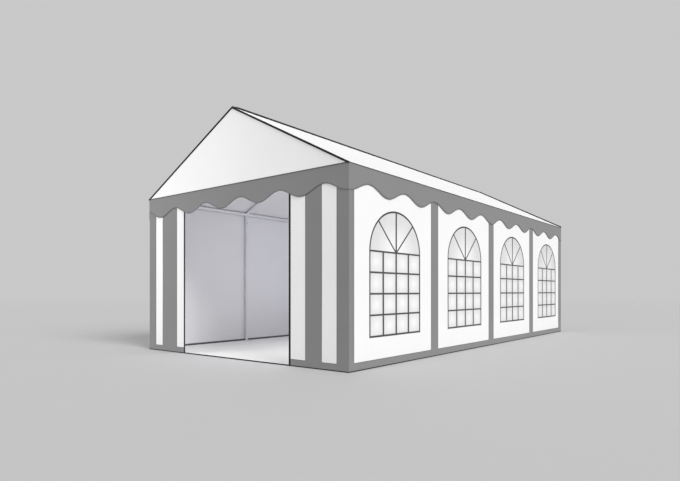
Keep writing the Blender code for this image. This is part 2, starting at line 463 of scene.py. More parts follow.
class Wiring:
    """Adds nodes to one tree and joins them. A value given to it may be another node's output."""

    def __init__(self, tree: bpy.types.NodeTree) -> None:
        """Keep the tree."""
        self.tree = tree

    def node(self, kind: str, **settings: object) -> bpy.types.Node:
        """Add a node.

        Args:
            kind: Its type.
            **settings: Its settings by name.

        Returns:
            The node.
        """
        made = self.tree.nodes.new(kind)
        for name, value in settings.items():
            setattr(made, name, value)
        return made

    def feed(self, socket: Socket, value: object) -> None:
        """Give an input a value, or join it to another node's output.

        Args:
            socket: The input.
            value: The value or the output.
        """
        if isinstance(value, Socket):
            self.tree.links.new(value, socket)
        else:
            socket.default_value = value

    def shade(self, name: str, value: object) -> None:
        """Feed an input of the material's own shader."""
        self.feed(self.tree.nodes["Principled BSDF"].inputs[name], value)

    def bump(self, height: object, depth: float) -> None:
        """Raise the surface by a height.

        Args:
            height: A number from 0 to 1.
            depth: How many metres a height of one stands for.
        """
        made = self.node("ShaderNodeBump")
        made.inputs["Distance"].default_value = depth
        self.feed(made.inputs["Height"], height)
        self.shade("Normal", made.outputs[0])

    def math(self, operation: str, *values: object, clamp: bool = False) -> Socket:
        """Add a Math node.

        Args:
            operation: What it does.
            *values: Its inputs.
            clamp: Whether the result is kept from 0 to 1.

        Returns:
            Its output.
        """
        made = self.node("ShaderNodeMath", operation=operation, use_clamp=clamp)
        for socket, value in zip(made.inputs, values):
            self.feed(socket, value)
        return made.outputs[0]

    def mix(self, *values: object) -> Socket:
        """Mix two colours.

        Args:
            *values: The second colour's share, the first colour and the second.

        Returns:
            The mixed colour.
        """
        made = self.node("ShaderNodeMix", data_type="RGBA")
        for place, value in zip(MIX_INPUTS, values):
            self.feed(made.inputs[place], value)
        return made.outputs[MIX_RESULT]

    def noise(self, place: object, scale: object, detail: float = 3.0) -> Socket:
        """Add a noise texture.

        Args:
            place: Where it is read.
            scale: How fine it is.
            detail: How many finer layers it has.

        Returns:
            Its value.
        """
        made = self.node("ShaderNodeTexNoise")
        for name, value in (("Detail", detail), ("Vector", place), ("Scale", scale)):
            self.feed(made.inputs[name], value)
        return made.outputs["Fac"]

    def split(self, place: object) -> list[Socket]:
        """Split a place into its three numbers.

        Args:
            place: The place.

        Returns:
            The numbers' outputs.
        """
        made = self.node("ShaderNodeSeparateXYZ")
        self.feed(made.inputs[0], place)
        return list(made.outputs)

    def place(self, kind: str) -> Socket:
        """The place on the surface, in Object coordinates or on the piece's own UV map."""
        return self.node("ShaderNodeTexCoord").outputs[kind]

    def group(self, name: str, **values: object) -> Socket:
        """Place a shared group.

        Args:
            name: Its name.
            **values: Its inputs by name.

        Returns:
            Its output.
        """
        made = self.node("ShaderNodeGroup", node_tree=bpy.data.node_groups[name])
        for socket, value in values.items():
            self.feed(made.inputs[socket], value)
        return made.outputs[0]


def new_group(name: str, **takes: str) -> tuple[Wiring, bpy.types.bpy_prop_collection]:
    """Start a shader group.

    Args:
        name: Its name.
        **takes: The kinds of its inputs by name.

    Returns:
        The wiring of its tree, and what comes in.
    """
    tree = bpy.data.node_groups.new(name, "ShaderNodeTree")
    for socket, kind in takes.items():
        tree.interface.new_socket(socket, in_out="INPUT", socket_type="NodeSocket" + kind)
    wiring = Wiring(tree)
    return wiring, wiring.node("NodeGroupInput").outputs


def end_group(wiring: Wiring, name: str, value: Socket) -> None:
    """Give a group its one output, a number."""
    wiring.tree.interface.new_socket(name, in_out="OUTPUT", socket_type="NodeSocketFloat")
    wiring.feed(wiring.node("NodeGroupOutput").inputs[name], value)


def make_weave_group() -> None:
    """Threads under a coating: sine across times sine up, so threads pass over and under."""
    wiring, enter = new_group("weave", Cloth="Vector", Threads="Float")
    waves = []
    for place in wiring.split(enter["Cloth"])[:2]:
        turn = wiring.math("MULTIPLY", wiring.math("MULTIPLY", place, enter["Threads"]), FULL_TURN)
        waves.append(wiring.math("SINE", turn))
    height = wiring.math("MULTIPLY_ADD", wiring.math("MULTIPLY", *waves), 0.5, 0.5)
    end_group(wiring, "Height", height)


def make_mottle_group() -> None:
    """Uneven tone: one plus twice the strength times the noise less a half."""
    wiring, enter = new_group("mottle", Place="Vector", Scale="Float", Strength="Float")
    swing = wiring.math("SUBTRACT", wiring.noise(enter["Place"], enter["Scale"]), 0.5)
    doubled = wiring.math("MULTIPLY", enter["Strength"], 2.0)
    end_group(wiring, "Tone", wiring.math("MULTIPLY_ADD", swing, doubled, 1.0))


def make_dust_group() -> None:
    """Dust near the ground: the square of what is left below the reach, broken up by noise."""
    wiring, enter = new_group("dust", Place="Vector", Reach="Float", Strength="Float")
    height = wiring.math("DIVIDE", wiring.split(enter["Place"])[2], enter["Reach"])
    left = wiring.math("SUBTRACT", 1.0, height, clamp=True)
    patchy = wiring.noise(enter["Place"], *DUST_NOISE)
    mask = wiring.math("MULTIPLY", wiring.math("MULTIPLY", left, left), patchy)
    end_group(wiring, "Mask", wiring.math("MULTIPLY", mask, enter["Strength"], clamp=True))


# Finishes


def new_material(name: str) -> tuple[bpy.types.Material, Wiring]:
    """Start a material.

    Args:
        name: Its name.

    Returns:
        The material and its wiring.
    """
    made = bpy.data.materials.new(name)
    made.use_nodes = True
    return made, Wiring(made.node_tree)


@dataclass(frozen=True)
class Finish:
    """A surface finish that names a material slot, and makes its material once."""

    name: str
    color: Color
    roughness: float
    slot: Slot

    def material(self) -> bpy.types.Material:
        """Make the finish's material, or find it.

        Returns:
            The material.
        """
        found = bpy.data.materials.get(self.name)
        if found is None:
            found, wiring = new_material(self.name)
            wiring.shade("Roughness", self.roughness)
            self.dress(wiring)
        return found

    def mottled(self, wiring: Wiring, place: Socket, scale: float, strength: float) -> Socket:
        """The finish's colour, a little uneven.

        Args:
            wiring: The material's wiring.
            place: Where the pattern is read.
            scale: How fine it is.
            strength: How much darker and lighter it gets.

        Returns:
            The colour.
        """
        made = wiring.node("ShaderNodeVectorMath", operation="SCALE")
        made.inputs[0].default_value = self.color
        tone = wiring.group("mottle", Place=place, Scale=scale, Strength=strength)
        wiring.feed(made.inputs["Scale"], tone)
        return made.outputs[0]

    def dress(self, wiring: Wiring) -> None:
        """Wire the finish's own effects."""
        raise NotImplementedError


@dataclass(frozen=True)
class CoatedSheet(Finish):
    """Woven scrim coated on both sides, slightly mottled and creased, dusty near the ground."""

    threads: float = 450.0
    weave_depth: float = 0.00012
    mottle: float = 0.03
    mottle_scale: float = 1.6
    dust: float = 0.18
    dust_reach: float = 0.45
    dust_color: Color = (0.42, 0.42, 0.44)
    creases: Noise = (3.2, 2.0)
    crease_weaves: float = 6.0

    def dress(self, wiring: Wiring) -> None:
        """Mottle the colour, lay dust on it, and press weave and creases into the surface.

        Args:
            wiring: The material's wiring.
        """
        place = wiring.place("Object")
        clean = self.mottled(wiring, place, self.mottle_scale, self.mottle)
        dust = wiring.group("dust", Place=place, Reach=self.dust_reach, Strength=self.dust)
        wiring.shade("Base Color", wiring.mix(dust, clean, (*self.dust_color, 1.0)))
        weave = wiring.group("weave", Cloth=wiring.place("UV"), Threads=self.threads)
        creases = wiring.noise(place, *self.creases)
        height = wiring.math("MULTIPLY_ADD", creases, self.crease_weaves, weave)
        wiring.bump(height, self.weave_depth)


@dataclass(frozen=True)
class WindowFilm(Finish):
    """Soft milky film, with shade painted into its colour: each pane greys from its middle towards its
    bars.
    """

    # The colour that the painted shade reaches at the bars and corners of each pane
    painted_shade_color: Color = (0.69, 0.69, 0.69)
    alpha: float = 0.82
    coat: float = 0.5
    coat_roughness: float = 0.08
    # Noise that makes the painted shade uneven: its scale and detail, then its least and its swing
    painted_shade_noise: Noise = (7.0, 4.0)
    painted_shade_least: float = 0.75
    painted_shade_swing: float = 0.5
    ripple: Noise = (4.5, 1.0)
    ripple_depth: float = 0.002

    def dress(self, wiring: Wiring) -> None:
        """Paint shade into each pane's colour from its middle to its bars, made uneven by noise, and
        ripple the film.

        Args:
            wiring: The material's wiring.
        """
        # Painted shade: the attribute greys the film's colour towards each pane's bars, and a noise
        # makes it uneven
        shade = wiring.node("ShaderNodeAttribute", attribute_name="pane_shade").outputs["Fac"]
        place = wiring.place("Object")
        painted_shade_noise = wiring.noise(place, *self.painted_shade_noise)
        uneven = wiring.math("MULTIPLY_ADD", painted_shade_noise, self.painted_shade_swing, self.painted_shade_least)
        edge = wiring.math("MULTIPLY", shade, uneven)
        wiring.shade("Base Color", wiring.mix(edge, (*self.color, 1.0), (*self.painted_shade_color, 1.0)))
        wiring.shade("Alpha", self.alpha)
        wiring.shade("Coat Weight", self.coat)
        wiring.shade("Coat Roughness", self.coat_roughness)
        wiring.bump(wiring.noise(place, *self.ripple), self.ripple_depth)


@dataclass(frozen=True)
class Moulded(Finish):
    """Plain plastic or tape, finely grained and a little uneven in tone."""

    gloss: float = 0.5
    grain: float = 900.0
    grain_depth: float = 0.00005
    mottle: float = 0.12
    mottle_scale: float = 14.0

    def dress(self, wiring: Wiring) -> None:
        """Mottle the colour and grain the surface.

        Args:
            wiring: The material's wiring.
        """
        place = wiring.place("Object")
        wiring.shade("Base Color", self.mottled(wiring, place, self.mottle_scale, self.mottle))
        wiring.shade("Specular IOR Level", self.gloss)
        wiring.bump(wiring.noise(place, self.grain), self.grain_depth)


@dataclass(frozen=True)
class PaintedTube(Finish):
    """Powder coat on steel: orange peel, with scuffs where the coat is thin."""

    mottle: float = 0.05
    mottle_scale: float = 5.0
    scuff_color: Color = (0.32, 0.33, 0.35)
    scuffs: Noise = (38.0, 6.0)
    scuff_from: float = 0.66
    scuff_edge: float = 4.0
    scuff_roughness: float = 0.25
    peel: Noise = (240.0, 2.0)
    peel_depth: float = 0.0002

    def dress(self, wiring: Wiring) -> None:
        """Scuff the coat and give it its orange peel.

        Args:
            wiring: The material's wiring.
        """
        place = wiring.place("Object")
        clean = self.mottled(wiring, place, self.mottle_scale, self.mottle)
        scratch = wiring.noise(place, *self.scuffs)
        thin = wiring.math("SUBTRACT", scratch, self.scuff_from, clamp=True)
        worn = wiring.math("MULTIPLY", thin, self.scuff_edge, clamp=True)
        rough = wiring.math("MULTIPLY_ADD", worn, self.scuff_roughness, self.roughness)
        wiring.shade("Base Color", wiring.mix(worn, clean, (*self.scuff_color, 1.0)))
        wiring.shade("Roughness", rough)
        wiring.bump(wiring.noise(place, *self.peel), self.peel_depth)


WHITE_SHEET = CoatedSheet("white_coated_sheet", (0.82, 0.82, 0.82), 0.48, Slot.WHITE)
GREY_SHEET = CoatedSheet(
    "grey_coated_sheet", (0.203, 0.203, 0.206), 0.5, Slot.GREY, mottle=0.04, dust=0.12
)
GREY_EDGE = CoatedSheet("grey_edge_tape", (0.085, 0.085, 0.087), 0.55, Slot.GREY, threads=800.0)
GREY_BINDING = CoatedSheet(
    "grey_binding_tape", (0.145, 0.145, 0.147), 0.55, Slot.GREY, threads=800.0
)
GROUND_SHEET = CoatedSheet(
    "pale_woven_ground", (0.8, 0.8, 0.78), 0.6, Slot.GROUND, threads=300.0, dust=0.0
)
CLEAR_FILM = WindowFilm("milky_window_film", (0.97, 0.97, 0.97), 0.18, Slot.FILM)
GLAZING_BAR = Moulded("grey_glazing_bar", (0.05, 0.05, 0.051), 0.5, Slot.TRIM)
DARK_PIPING = Moulded("dark_piping", (0.018, 0.016, 0.016), 0.6, Slot.TRIM, gloss=0.15)
BLACK_ZIP = Moulded("black_zip", (0.012, 0.012, 0.013), 0.5, Slot.TRIM, gloss=0.25)
PALE_TUBE = PaintedTube("pale_painted_tube", (0.8, 0.8, 0.82), 0.38, Slot.STEEL)
ZINC_BOLT = PaintedTube("zinc_bolt", (0.45, 0.45, 0.46), 0.35, Slot.STEEL)


# Places on the marquee


@dataclass(frozen=True)
class Plane:
    """An upright plane: along it to the right, up it, and out of it."""

    face: Face
    out: float

    @property
    def axes(self) -> Array:
        """The directions to the right, up and outwards, one in each row."""
        right, back = self.face.value
        return np.array([(right, back, 0.0), Z_AXIS, (back, -right, 0.0)])

    @property
    def outward(self) -> Array:
        """The direction out of the marquee."""
        return self.axes[2]

    def place(self, along: Number, up: Number, lift: Number = 0.0) -> Array:
        """Places in the marquee's frame.

        Args:
            along: Distances to the right of the plane's middle, seen from outside.
            up: Heights.
            lift: Distances out of the plane.

        Returns:
            Points with a last axis of three.
        """
        right, back = self.face.value
        reach = self.out + lift
        return points_of(right * along + back * reach, back * along - right * reach, up)


@dataclass(frozen=True)
class Sizes:
    """The marquee's sizes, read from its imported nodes."""

    half_width: float
    half_length: float
    eave: float
    ridge: float
    wall_x: float
    wall_y: float
    wall_top: float
    half_door: float
    bays: tuple[tuple[float, float], ...]
    stations: tuple[float, ...]

    @classmethod
    def read(cls) -> "Sizes":
        """Read the sizes.

        Returns:
            The marquee's sizes.
        """
        walls = [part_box(f"wall_right_{number}") for number in range(1, BAYS + 1)]
        rafters = [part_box(f"rafter_right_{number}") for number in range(1, BAYS + 2)]
        return cls(
            half_width=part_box("roof_cover")[1].x,
            half_length=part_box("valance_back")[1].y,
            eave=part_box("gable_front")[0].z,
            ridge=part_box("roof_cover")[1].z,
            wall_x=walls[0][1].x,
            wall_y=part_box("back_wall_left")[1].y,
            wall_top=walls[0][1].z,
            half_door=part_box("front_wall_right")[0].x,
            bays=tuple((low.y, high.y) for low, high in walls),
            stations=tuple((low.y + high.y) / 2.0 for low, high in rafters),
        )

    @property
    def slope(self) -> float:
        """The roof's rise for each metre across."""
        return (self.ridge - self.eave) / self.half_width

    def half_along(self, face: Face) -> float:
        """Half the length of the roof's edge over a face."""
        return self.half_width if face.is_end else self.half_length

    def eave_plane(self, face: Face) -> Plane:
        """The plane of the roof's edge over a face."""
        return Plane(face, self.half_length if face.is_end else self.half_width)

    def wall_plane(self, face: Face) -> Plane:
        """The plane of a face's walls."""
        return Plane(face, self.wall_y if face.is_end else self.wall_x)


def leg_boxes() -> list[tuple[Vector, Vector]]:
    """The boxes of the legs with their foot plates, from the front: the right ones, then the left."""
    names = [f"leg_{side}_{number}" for side in ("right", "left") for number in range(1, BAYS + 2)]
    return [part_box(name) for name in names]


def round_node(node: str) -> tuple[Array, float]:
    """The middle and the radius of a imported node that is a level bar."""
    low, high = (np.array(corner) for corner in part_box(node))
    return (low + high) / 2.0, (high[2] - low[2]) / 2.0


@dataclass(frozen=True)
class Slack:
    """How a hung sheet hollows inwards between its hems, with soft upright folds."""

    depth: float
    folds: float
    turn: float
    turn_a_panel: float = 0.0
    least: float = 0.6
    swing: float = 0.4
    lean: float = 1.2

    def of_panel(self, number: int) -> "Slack":
        """The same slack for one of a row of panels, with its folds moved along."""
        return Slack(self.depth, self.folds, self.turn + number * self.turn_a_panel)

    def at(self, across: Array, rise: Array) -> Array:
        """How far the sheet hangs inside its plane.

        The depth is multiplied by the square of a half sine across, by a half sine up,
        and by a slow wave across that leans with the height.

        Args:
            across: Places from 0 to 1 between the upright hems.
            rise: Places from 0 to 1 between the lower and upper hem.

        Returns:
            Distances inwards.
        """
        pinned = np.sin(math.pi * across) ** 2 * np.sin(math.pi * rise)
        lean = self.lean * np.sin(math.pi * rise)
        wave = self.least + self.swing * np.cos(FULL_TURN * self.folds * across + self.turn + lean)
        return self.depth * pinned * wave


@dataclass(frozen=True)
class Stripe:
    """A grey strip welded upright on a wall panel, from low to high along it."""

    low: float
    high: float

    def mirrored(self) -> "Stripe":
        """The same strip on the opposite wall, as seen from outside."""
        return Stripe(-self.high, -self.low)


# Roof


@dataclass(frozen=True)
class RoofCover:
    """The ridged roof sheet with its gables and piped edges."""

    sizes: Sizes
    crown: float = 0.012
    crest_shares: tuple[float, ...] = (0.5, 1.0, 2.0, 4.0)
    sag: float = 0.014
    seam_width: float = 0.04
    seam_lift: float = 0.0009
    seam_edge: float = 0.003
    step: float = 0.06
    gable_rows: int = 24
    gable_columns: int = 61
    billow: float = 0.006
    cord_step: float = 0.5
    ridge_radius: float = 0.019
    ridge_rise: float = 0.009
    ridge_dip: float = 0.013
    dip_length: float = 0.12
    dip_shares: tuple[float, ...] = (0.25, 0.5, 0.75, 1.0)
    verge_radius: float = 0.013
    front_verge_rise: float = -0.009
    back_verge_rise: float = 0.014
    welt_radius: float = 0.006
    welt_sides: int = 10
    welt_drop: float = 0.004

    @property
    def crest_lines(self) -> list[float]:
        """Grid lines that follow the rounded ridge, at its middle and at shares of its crown."""
        return [0.0, *(side * self.crown * share for side in (-1, 1) for share in self.crest_shares)]

    def height(self, across: Number) -> Number:
        """Its height: the ridge less the slope times the root of across squared plus crown squared."""
        return self.sizes.ridge - self.sizes.slope * np.sqrt(across**2 + self.crown**2)

    def sheet(self) -> Piece:
        """Make the roof sheet, which sags between the rafters and has a welded seam over each.

        The sag is a half sine from rafter to rafter times a half sine from ridge to eave.

        Returns:
            The sheet.
        """
        sizes = self.sizes
        inner = self.seam_width / 2.0
        outer = inner + self.seam_edge
        seams = [station + edge for station in sizes.stations for edge in (-outer, -inner, inner, outer)]
        across = lines(-sizes.half_width, sizes.half_width, self.step, self.crest_lines)
        along = lines(-sizes.half_length, sizes.half_length, self.step, seams)
        x, y = np.meshgrid(across, along, indexing="ij")
        bay = np.interp(y, sizes.stations, np.arange(len(sizes.stations)))
        hollow = np.sin(math.pi * (bay % 1.0)) * np.sin(math.pi * np.abs(x) / sizes.half_width)
        nearest = np.abs(y[..., None] - np.array(sizes.stations)).min(axis=-1)
        raised = self.seam_lift * (nearest < (inner + outer) / 2.0)
        z = self.height(x) - self.sag * hollow + raised
        patch = thin_sheet(points_of(x, y, z), y, x * math.hypot(1.0, sizes.slope))
        return make_piece("roof_sheet", [patch], WHITE_SHEET, ["roof_cover"])

    def gable(self, plane: Plane, node: str) -> Piece:
        """Make a gable panel: level rows whose half width follows the roof, billowed inwards.

        Args:
            plane: The end's plane.
            node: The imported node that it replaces.

        Returns:
            The panel.
        """
        sizes = self.sizes
        top = sizes.ridge - sizes.slope * self.crown - self.welt_radius
        rise = np.linspace(0.0, 1.0, self.gable_rows)[:, None]
        share = np.linspace(-1.0, 1.0, self.gable_columns)
        up = sizes.eave + rise * (top - sizes.eave)
        half = np.sqrt(((sizes.ridge - up) / sizes.slope) ** 2 - self.crown**2)
        along = share * half
        lift = -self.billow * np.cos(math.pi * share / 2.0) ** 2 * np.sin(math.pi * rise)
        patch = thin_sheet(plane.place(along, up, lift), along, up)
        return make_piece(node + "_sheet", [patch], WHITE_SHEET, [node])

    def verge_piping(self, face: Face, rise: float) -> Patch:
        """Piping along both slopes of one end, mitred over the ridge.

        Args:
            face: The end.
            rise: How far its middle lies above the roof.

        Returns:
            The closed surface.
        """
        plane = self.sizes.eave_plane(face)
        half = self.sizes.half_width
        along = lines(-half, half, self.cord_step, self.crest_lines)
        path = plane.place(along, self.height(along) + rise)
        return sweep(path, round_section(self.verge_radius), plane.outward)

    def piping(self) -> None:
        """Make the dark piping of the ridge and the verges.

        The ridge's piping lies level and dips into the verges' at its ends, by the dip
        times one less the eased share of the dip's length.
        """
        half = self.sizes.half_length
        dips = [half - self.dip_length * share for share in self.dip_shares]
        along = lines(-half, half, self.cord_step, [side * dip for side in (-1, 1) for dip in dips])
        dip = self.ridge_dip * (1.0 - smooth((half - np.abs(along)) / self.dip_length))
        crest = points_of(0.0, along, self.height(0.0) + self.ridge_rise - dip)
        ridge = sweep(crest, round_section(self.ridge_radius), Z_AXIS)
        front = self.verge_piping(Face.FRONT, self.front_verge_rise)
        back = self.verge_piping(Face.BACK, self.back_verge_rise)
        make_piece("roof_piping", [ridge, front, back], DARK_PIPING)

    def welts(self) -> None:
        """Make the dark welts between the roof or gables and the valances."""
        patches = []
        for face in Face:
            half = self.sizes.half_along(face)
            plane = self.sizes.eave_plane(face)
            up = self.sizes.eave - self.welt_drop
            path = plane.place(lines(-half, half, self.cord_step), up)
            section = round_section(self.welt_radius, self.welt_sides)
            patches.append(sweep(path, section, plane.outward))
        make_piece("eave_welts", patches, GREY_EDGE)


# Valances


@dataclass(frozen=True)
class Valance:
    """A scalloped strip that hangs below an eave or a gable, with a bound lower edge."""

    node: str
    plane: Plane
    half: float
    top: float
    lobe_at: float
    pitch: float
    wave: float = 0.057
    flutter: float = 0.008
    lean_least: float = 0.35
    lean_swing: float = 0.65
    lean_turn: float = 0.6
    binding_width: float = 0.016
    binding_thickness: float = 0.0026
    step: float = 0.025
    rows: int = 9
    pinned: float = 0.25

    @property
    def drop(self) -> float:
        """How far the lobes hang down."""
        return self.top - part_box(self.node)[0].z

    def phase(self, along: Array) -> Array:
        """The angle along the wave, zero at a lobe."""
        return FULL_TURN * (along - self.lobe_at) / self.pitch

    def edge(self, along: Array) -> Array:
        """The lower edge: its mean height less the wave times the cosine of the phase."""
        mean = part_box(self.node)[0].z + self.wave
        return mean - self.wave * np.cos(self.phase(along))

    def lift(self, along: Array, drop: Number) -> Array:
        """How far the strip leans out: by the drop squared, most near the lobes, none at the corners.

        Args:
            along: Distances to the right.
            drop: Places from 0 at the top to 1 at the lower edge.

        Returns:
            Distances outwards.
        """
        near_end = smooth((self.half - np.abs(along)) / self.pinned)
        wave = np.cos(self.phase(along) / 2.0 + self.lean_turn) ** 2
        return self.flutter * drop**2 * (self.lean_least + self.lean_swing * wave) * near_end

    def strip(self) -> Piece:
        """Make the strip.

        Returns:
            The strip.
        """
        along = lines(-self.half, self.half, self.step)
        drop = np.linspace(1.0, 0.0, self.rows)[:, None]
        up = self.top + drop * (self.edge(along) - self.top)
        patch = thin_sheet(self.plane.place(along, up, self.lift(along, drop)), along, up)
        return make_piece(self.node + "_strip", [patch], GREY_SHEET, [self.node])

    def binding(self) -> Piece:
        """Make the tape folded over the scalloped edge.

        Returns:
            The tape.
        """
        along = lines(-self.half, self.half, self.step)
        inset = self.binding_width / 2.0 - 2.0 * SHEET_THICKNESS
        lift = self.lift(along, 1.0) - SHEET_THICKNESS / 2.0
        path = self.plane.place(along, self.edge(along) + inset, lift)
        section = tape_section(self.binding_width, self.binding_thickness)
        section -= (0.0, self.binding_thickness / 2.0)
        patch = sweep(path, section, self.plane.outward)
        return make_piece(self.node + "_binding", [patch], GREY_BINDING)


# Walls


@dataclass(frozen=True)
class WallPanel:
    """A hung wall panel with a grey band at its foot and grey stripes welded on."""

    node: str
    plane: Plane
    low: float
    high: float
    top: float
    slack: Slack
    stripes: tuple[Stripe, ...] = ()
    foot_band: float = 0.1
    strip_lift: float = 0.0012
    step: float = 0.05
    hem_height: float = 0.028
    hem_thickness: float = 0.0015
    hem_rise: float = 0.004
    hem_behind: float = 0.001
    stitch_inset: float = 0.004
    stitch_width: float = 0.005
    stitch_height: float = 0.0007
    cord_radius: float = 0.006
    cord_sides: int = 10

    @property
    def flat(self) -> tuple[float, float]:
        """The panel's width and height on the flat cloth."""
        return self.high - self.low, self.top

    @property
    def cut_area(self) -> float | None:
        """The panel's flat area, where it isn't a full rectangle."""
        return None

    def surface(self, along: Array, up: Number, lift: Number = 0.0) -> Array:
        """Places on the panel's outer face, with its slack, lifted outwards.

        Args:
            along: Distances to the right.
            up: Heights.
            lift: Distances out of the face.

        Returns:
            Points with a last axis of three.
        """
        across = np.clip((along - self.low) / (self.high - self.low), 0.0, 1.0)
        rise = np.clip(np.asarray(up) / self.top, 0.0, 1.0)
        return self.plane.place(along, up, lift - self.slack.at(across, rise))

    def field(self, low: float, high: float, bottom: float, top: float, lift: float = 0.0) -> Patch:
        """A rectangular stretch of the panel's surface between four edges, lifted outwards."""
        along, up = np.meshgrid(lines(low, high, self.step), lines(bottom, top, self.step))
        return thin_sheet(self.surface(along, up, lift), along, up)

    def sheet(self) -> Piece:
        """Make the white sheet."""
        patch = self.field(self.low, self.high, 0.0, self.top)
        return make_piece(self.node + "_sheet", [patch], WHITE_SHEET, [self.node])

    def border(self) -> Piece:
        """Make the foot band and the stripes, which end at the band.

        Returns:
            The piece.
        """
        patches = [self.field(self.low, self.high, 0.0, self.foot_band, self.strip_lift)]
        for stripe in self.stripes:
            ends = (self.foot_band, self.top)
            patches.append(self.field(stripe.low, stripe.high, *ends, self.strip_lift))
        return make_piece(self.node + "_stripes", patches, GREY_SHEET)

    def run(self, corners: Sequence[tuple[float, float]], section: Array, lift: float) -> Patch:
        """Carry a section over the panel's surface, straight from corner to corner.

        Args:
            corners: Places along and up the panel.
            section: The section.
            lift: How far its base lies out of the face.

        Returns:
            The closed surface.
        """
        along, up = np.array(corners).T
        reach = np.concatenate([[0.0], np.cumsum(np.hypot(np.diff(along), np.diff(up)))])
        share = lines(0.0, reach[-1], self.step, reach)
        points = self.surface(np.interp(share, reach, along), np.interp(share, reach, up), lift)
        return sweep(points, section, self.plane.outward)

    def white_fields(self) -> list[tuple[float, float]]:
        """The white fields between the stripes.

        Returns:
            The left and right edge of each.
        """
        inner = [edge for stripe in self.stripes for edge in (stripe.low, stripe.high)]
        edges = [self.low, *inner, self.high]
        return [(left, right) for left, right in zip(edges[::2], edges[1::2]) if right > left]

    def stitches(self) -> Piece:
        """Make the darker stitched edge round each white field, on the grey beside and below it.

        Returns:
            The piece.
        """
        section = tape_section(self.stitch_width, self.stitch_height)
        foot = self.foot_band - self.stitch_inset
        patches = []
        for left, right in self.white_fields():
            low = max(left - self.stitch_inset, self.low)
            high = min(right + self.stitch_inset, self.high)
            corners = [(low, foot), (high, foot)]
            if left > self.low:
                corners.insert(0, (low, self.top))
            if right < self.high:
                corners.append((high, self.top))
            patches.append(self.run(corners, section, self.strip_lift))
        return make_piece(self.node + "_stitches", patches, GREY_EDGE)

    def foot_cord(self) -> Piece:
        """Make the dark cord sewn into the panel's lower edge.

        Returns:
            The cord.
        """
        ends = [(self.low, self.cord_radius), (self.high, self.cord_radius)]
        patch = self.run(ends, round_section(self.cord_radius, self.cord_sides), 0.0)
        return make_piece(self.node + "_foot_cord", [patch], DARK_PIPING)

    def inner_hem(self) -> Piece:
        """Make the dark hem tape along the foot of the inner face.

        Returns:
            The tape.
        """
        along = lines(self.low, self.high, self.step)[::-1]
        path = self.surface(along, self.hem_height / 2.0 + self.hem_rise, -self.hem_behind)
        section = tape_section(self.hem_height, self.hem_thickness)
        patch = sweep(path, section, -self.plane.outward)
        return make_piece(self.node + "_hem", [patch], GREY_EDGE)

    def build(self) -> list[Piece]:
        """Make the sheet, then the pieces on it."""
        return [self.sheet(), self.border(), self.stitches(), self.foot_cord(), self.inner_hem()]


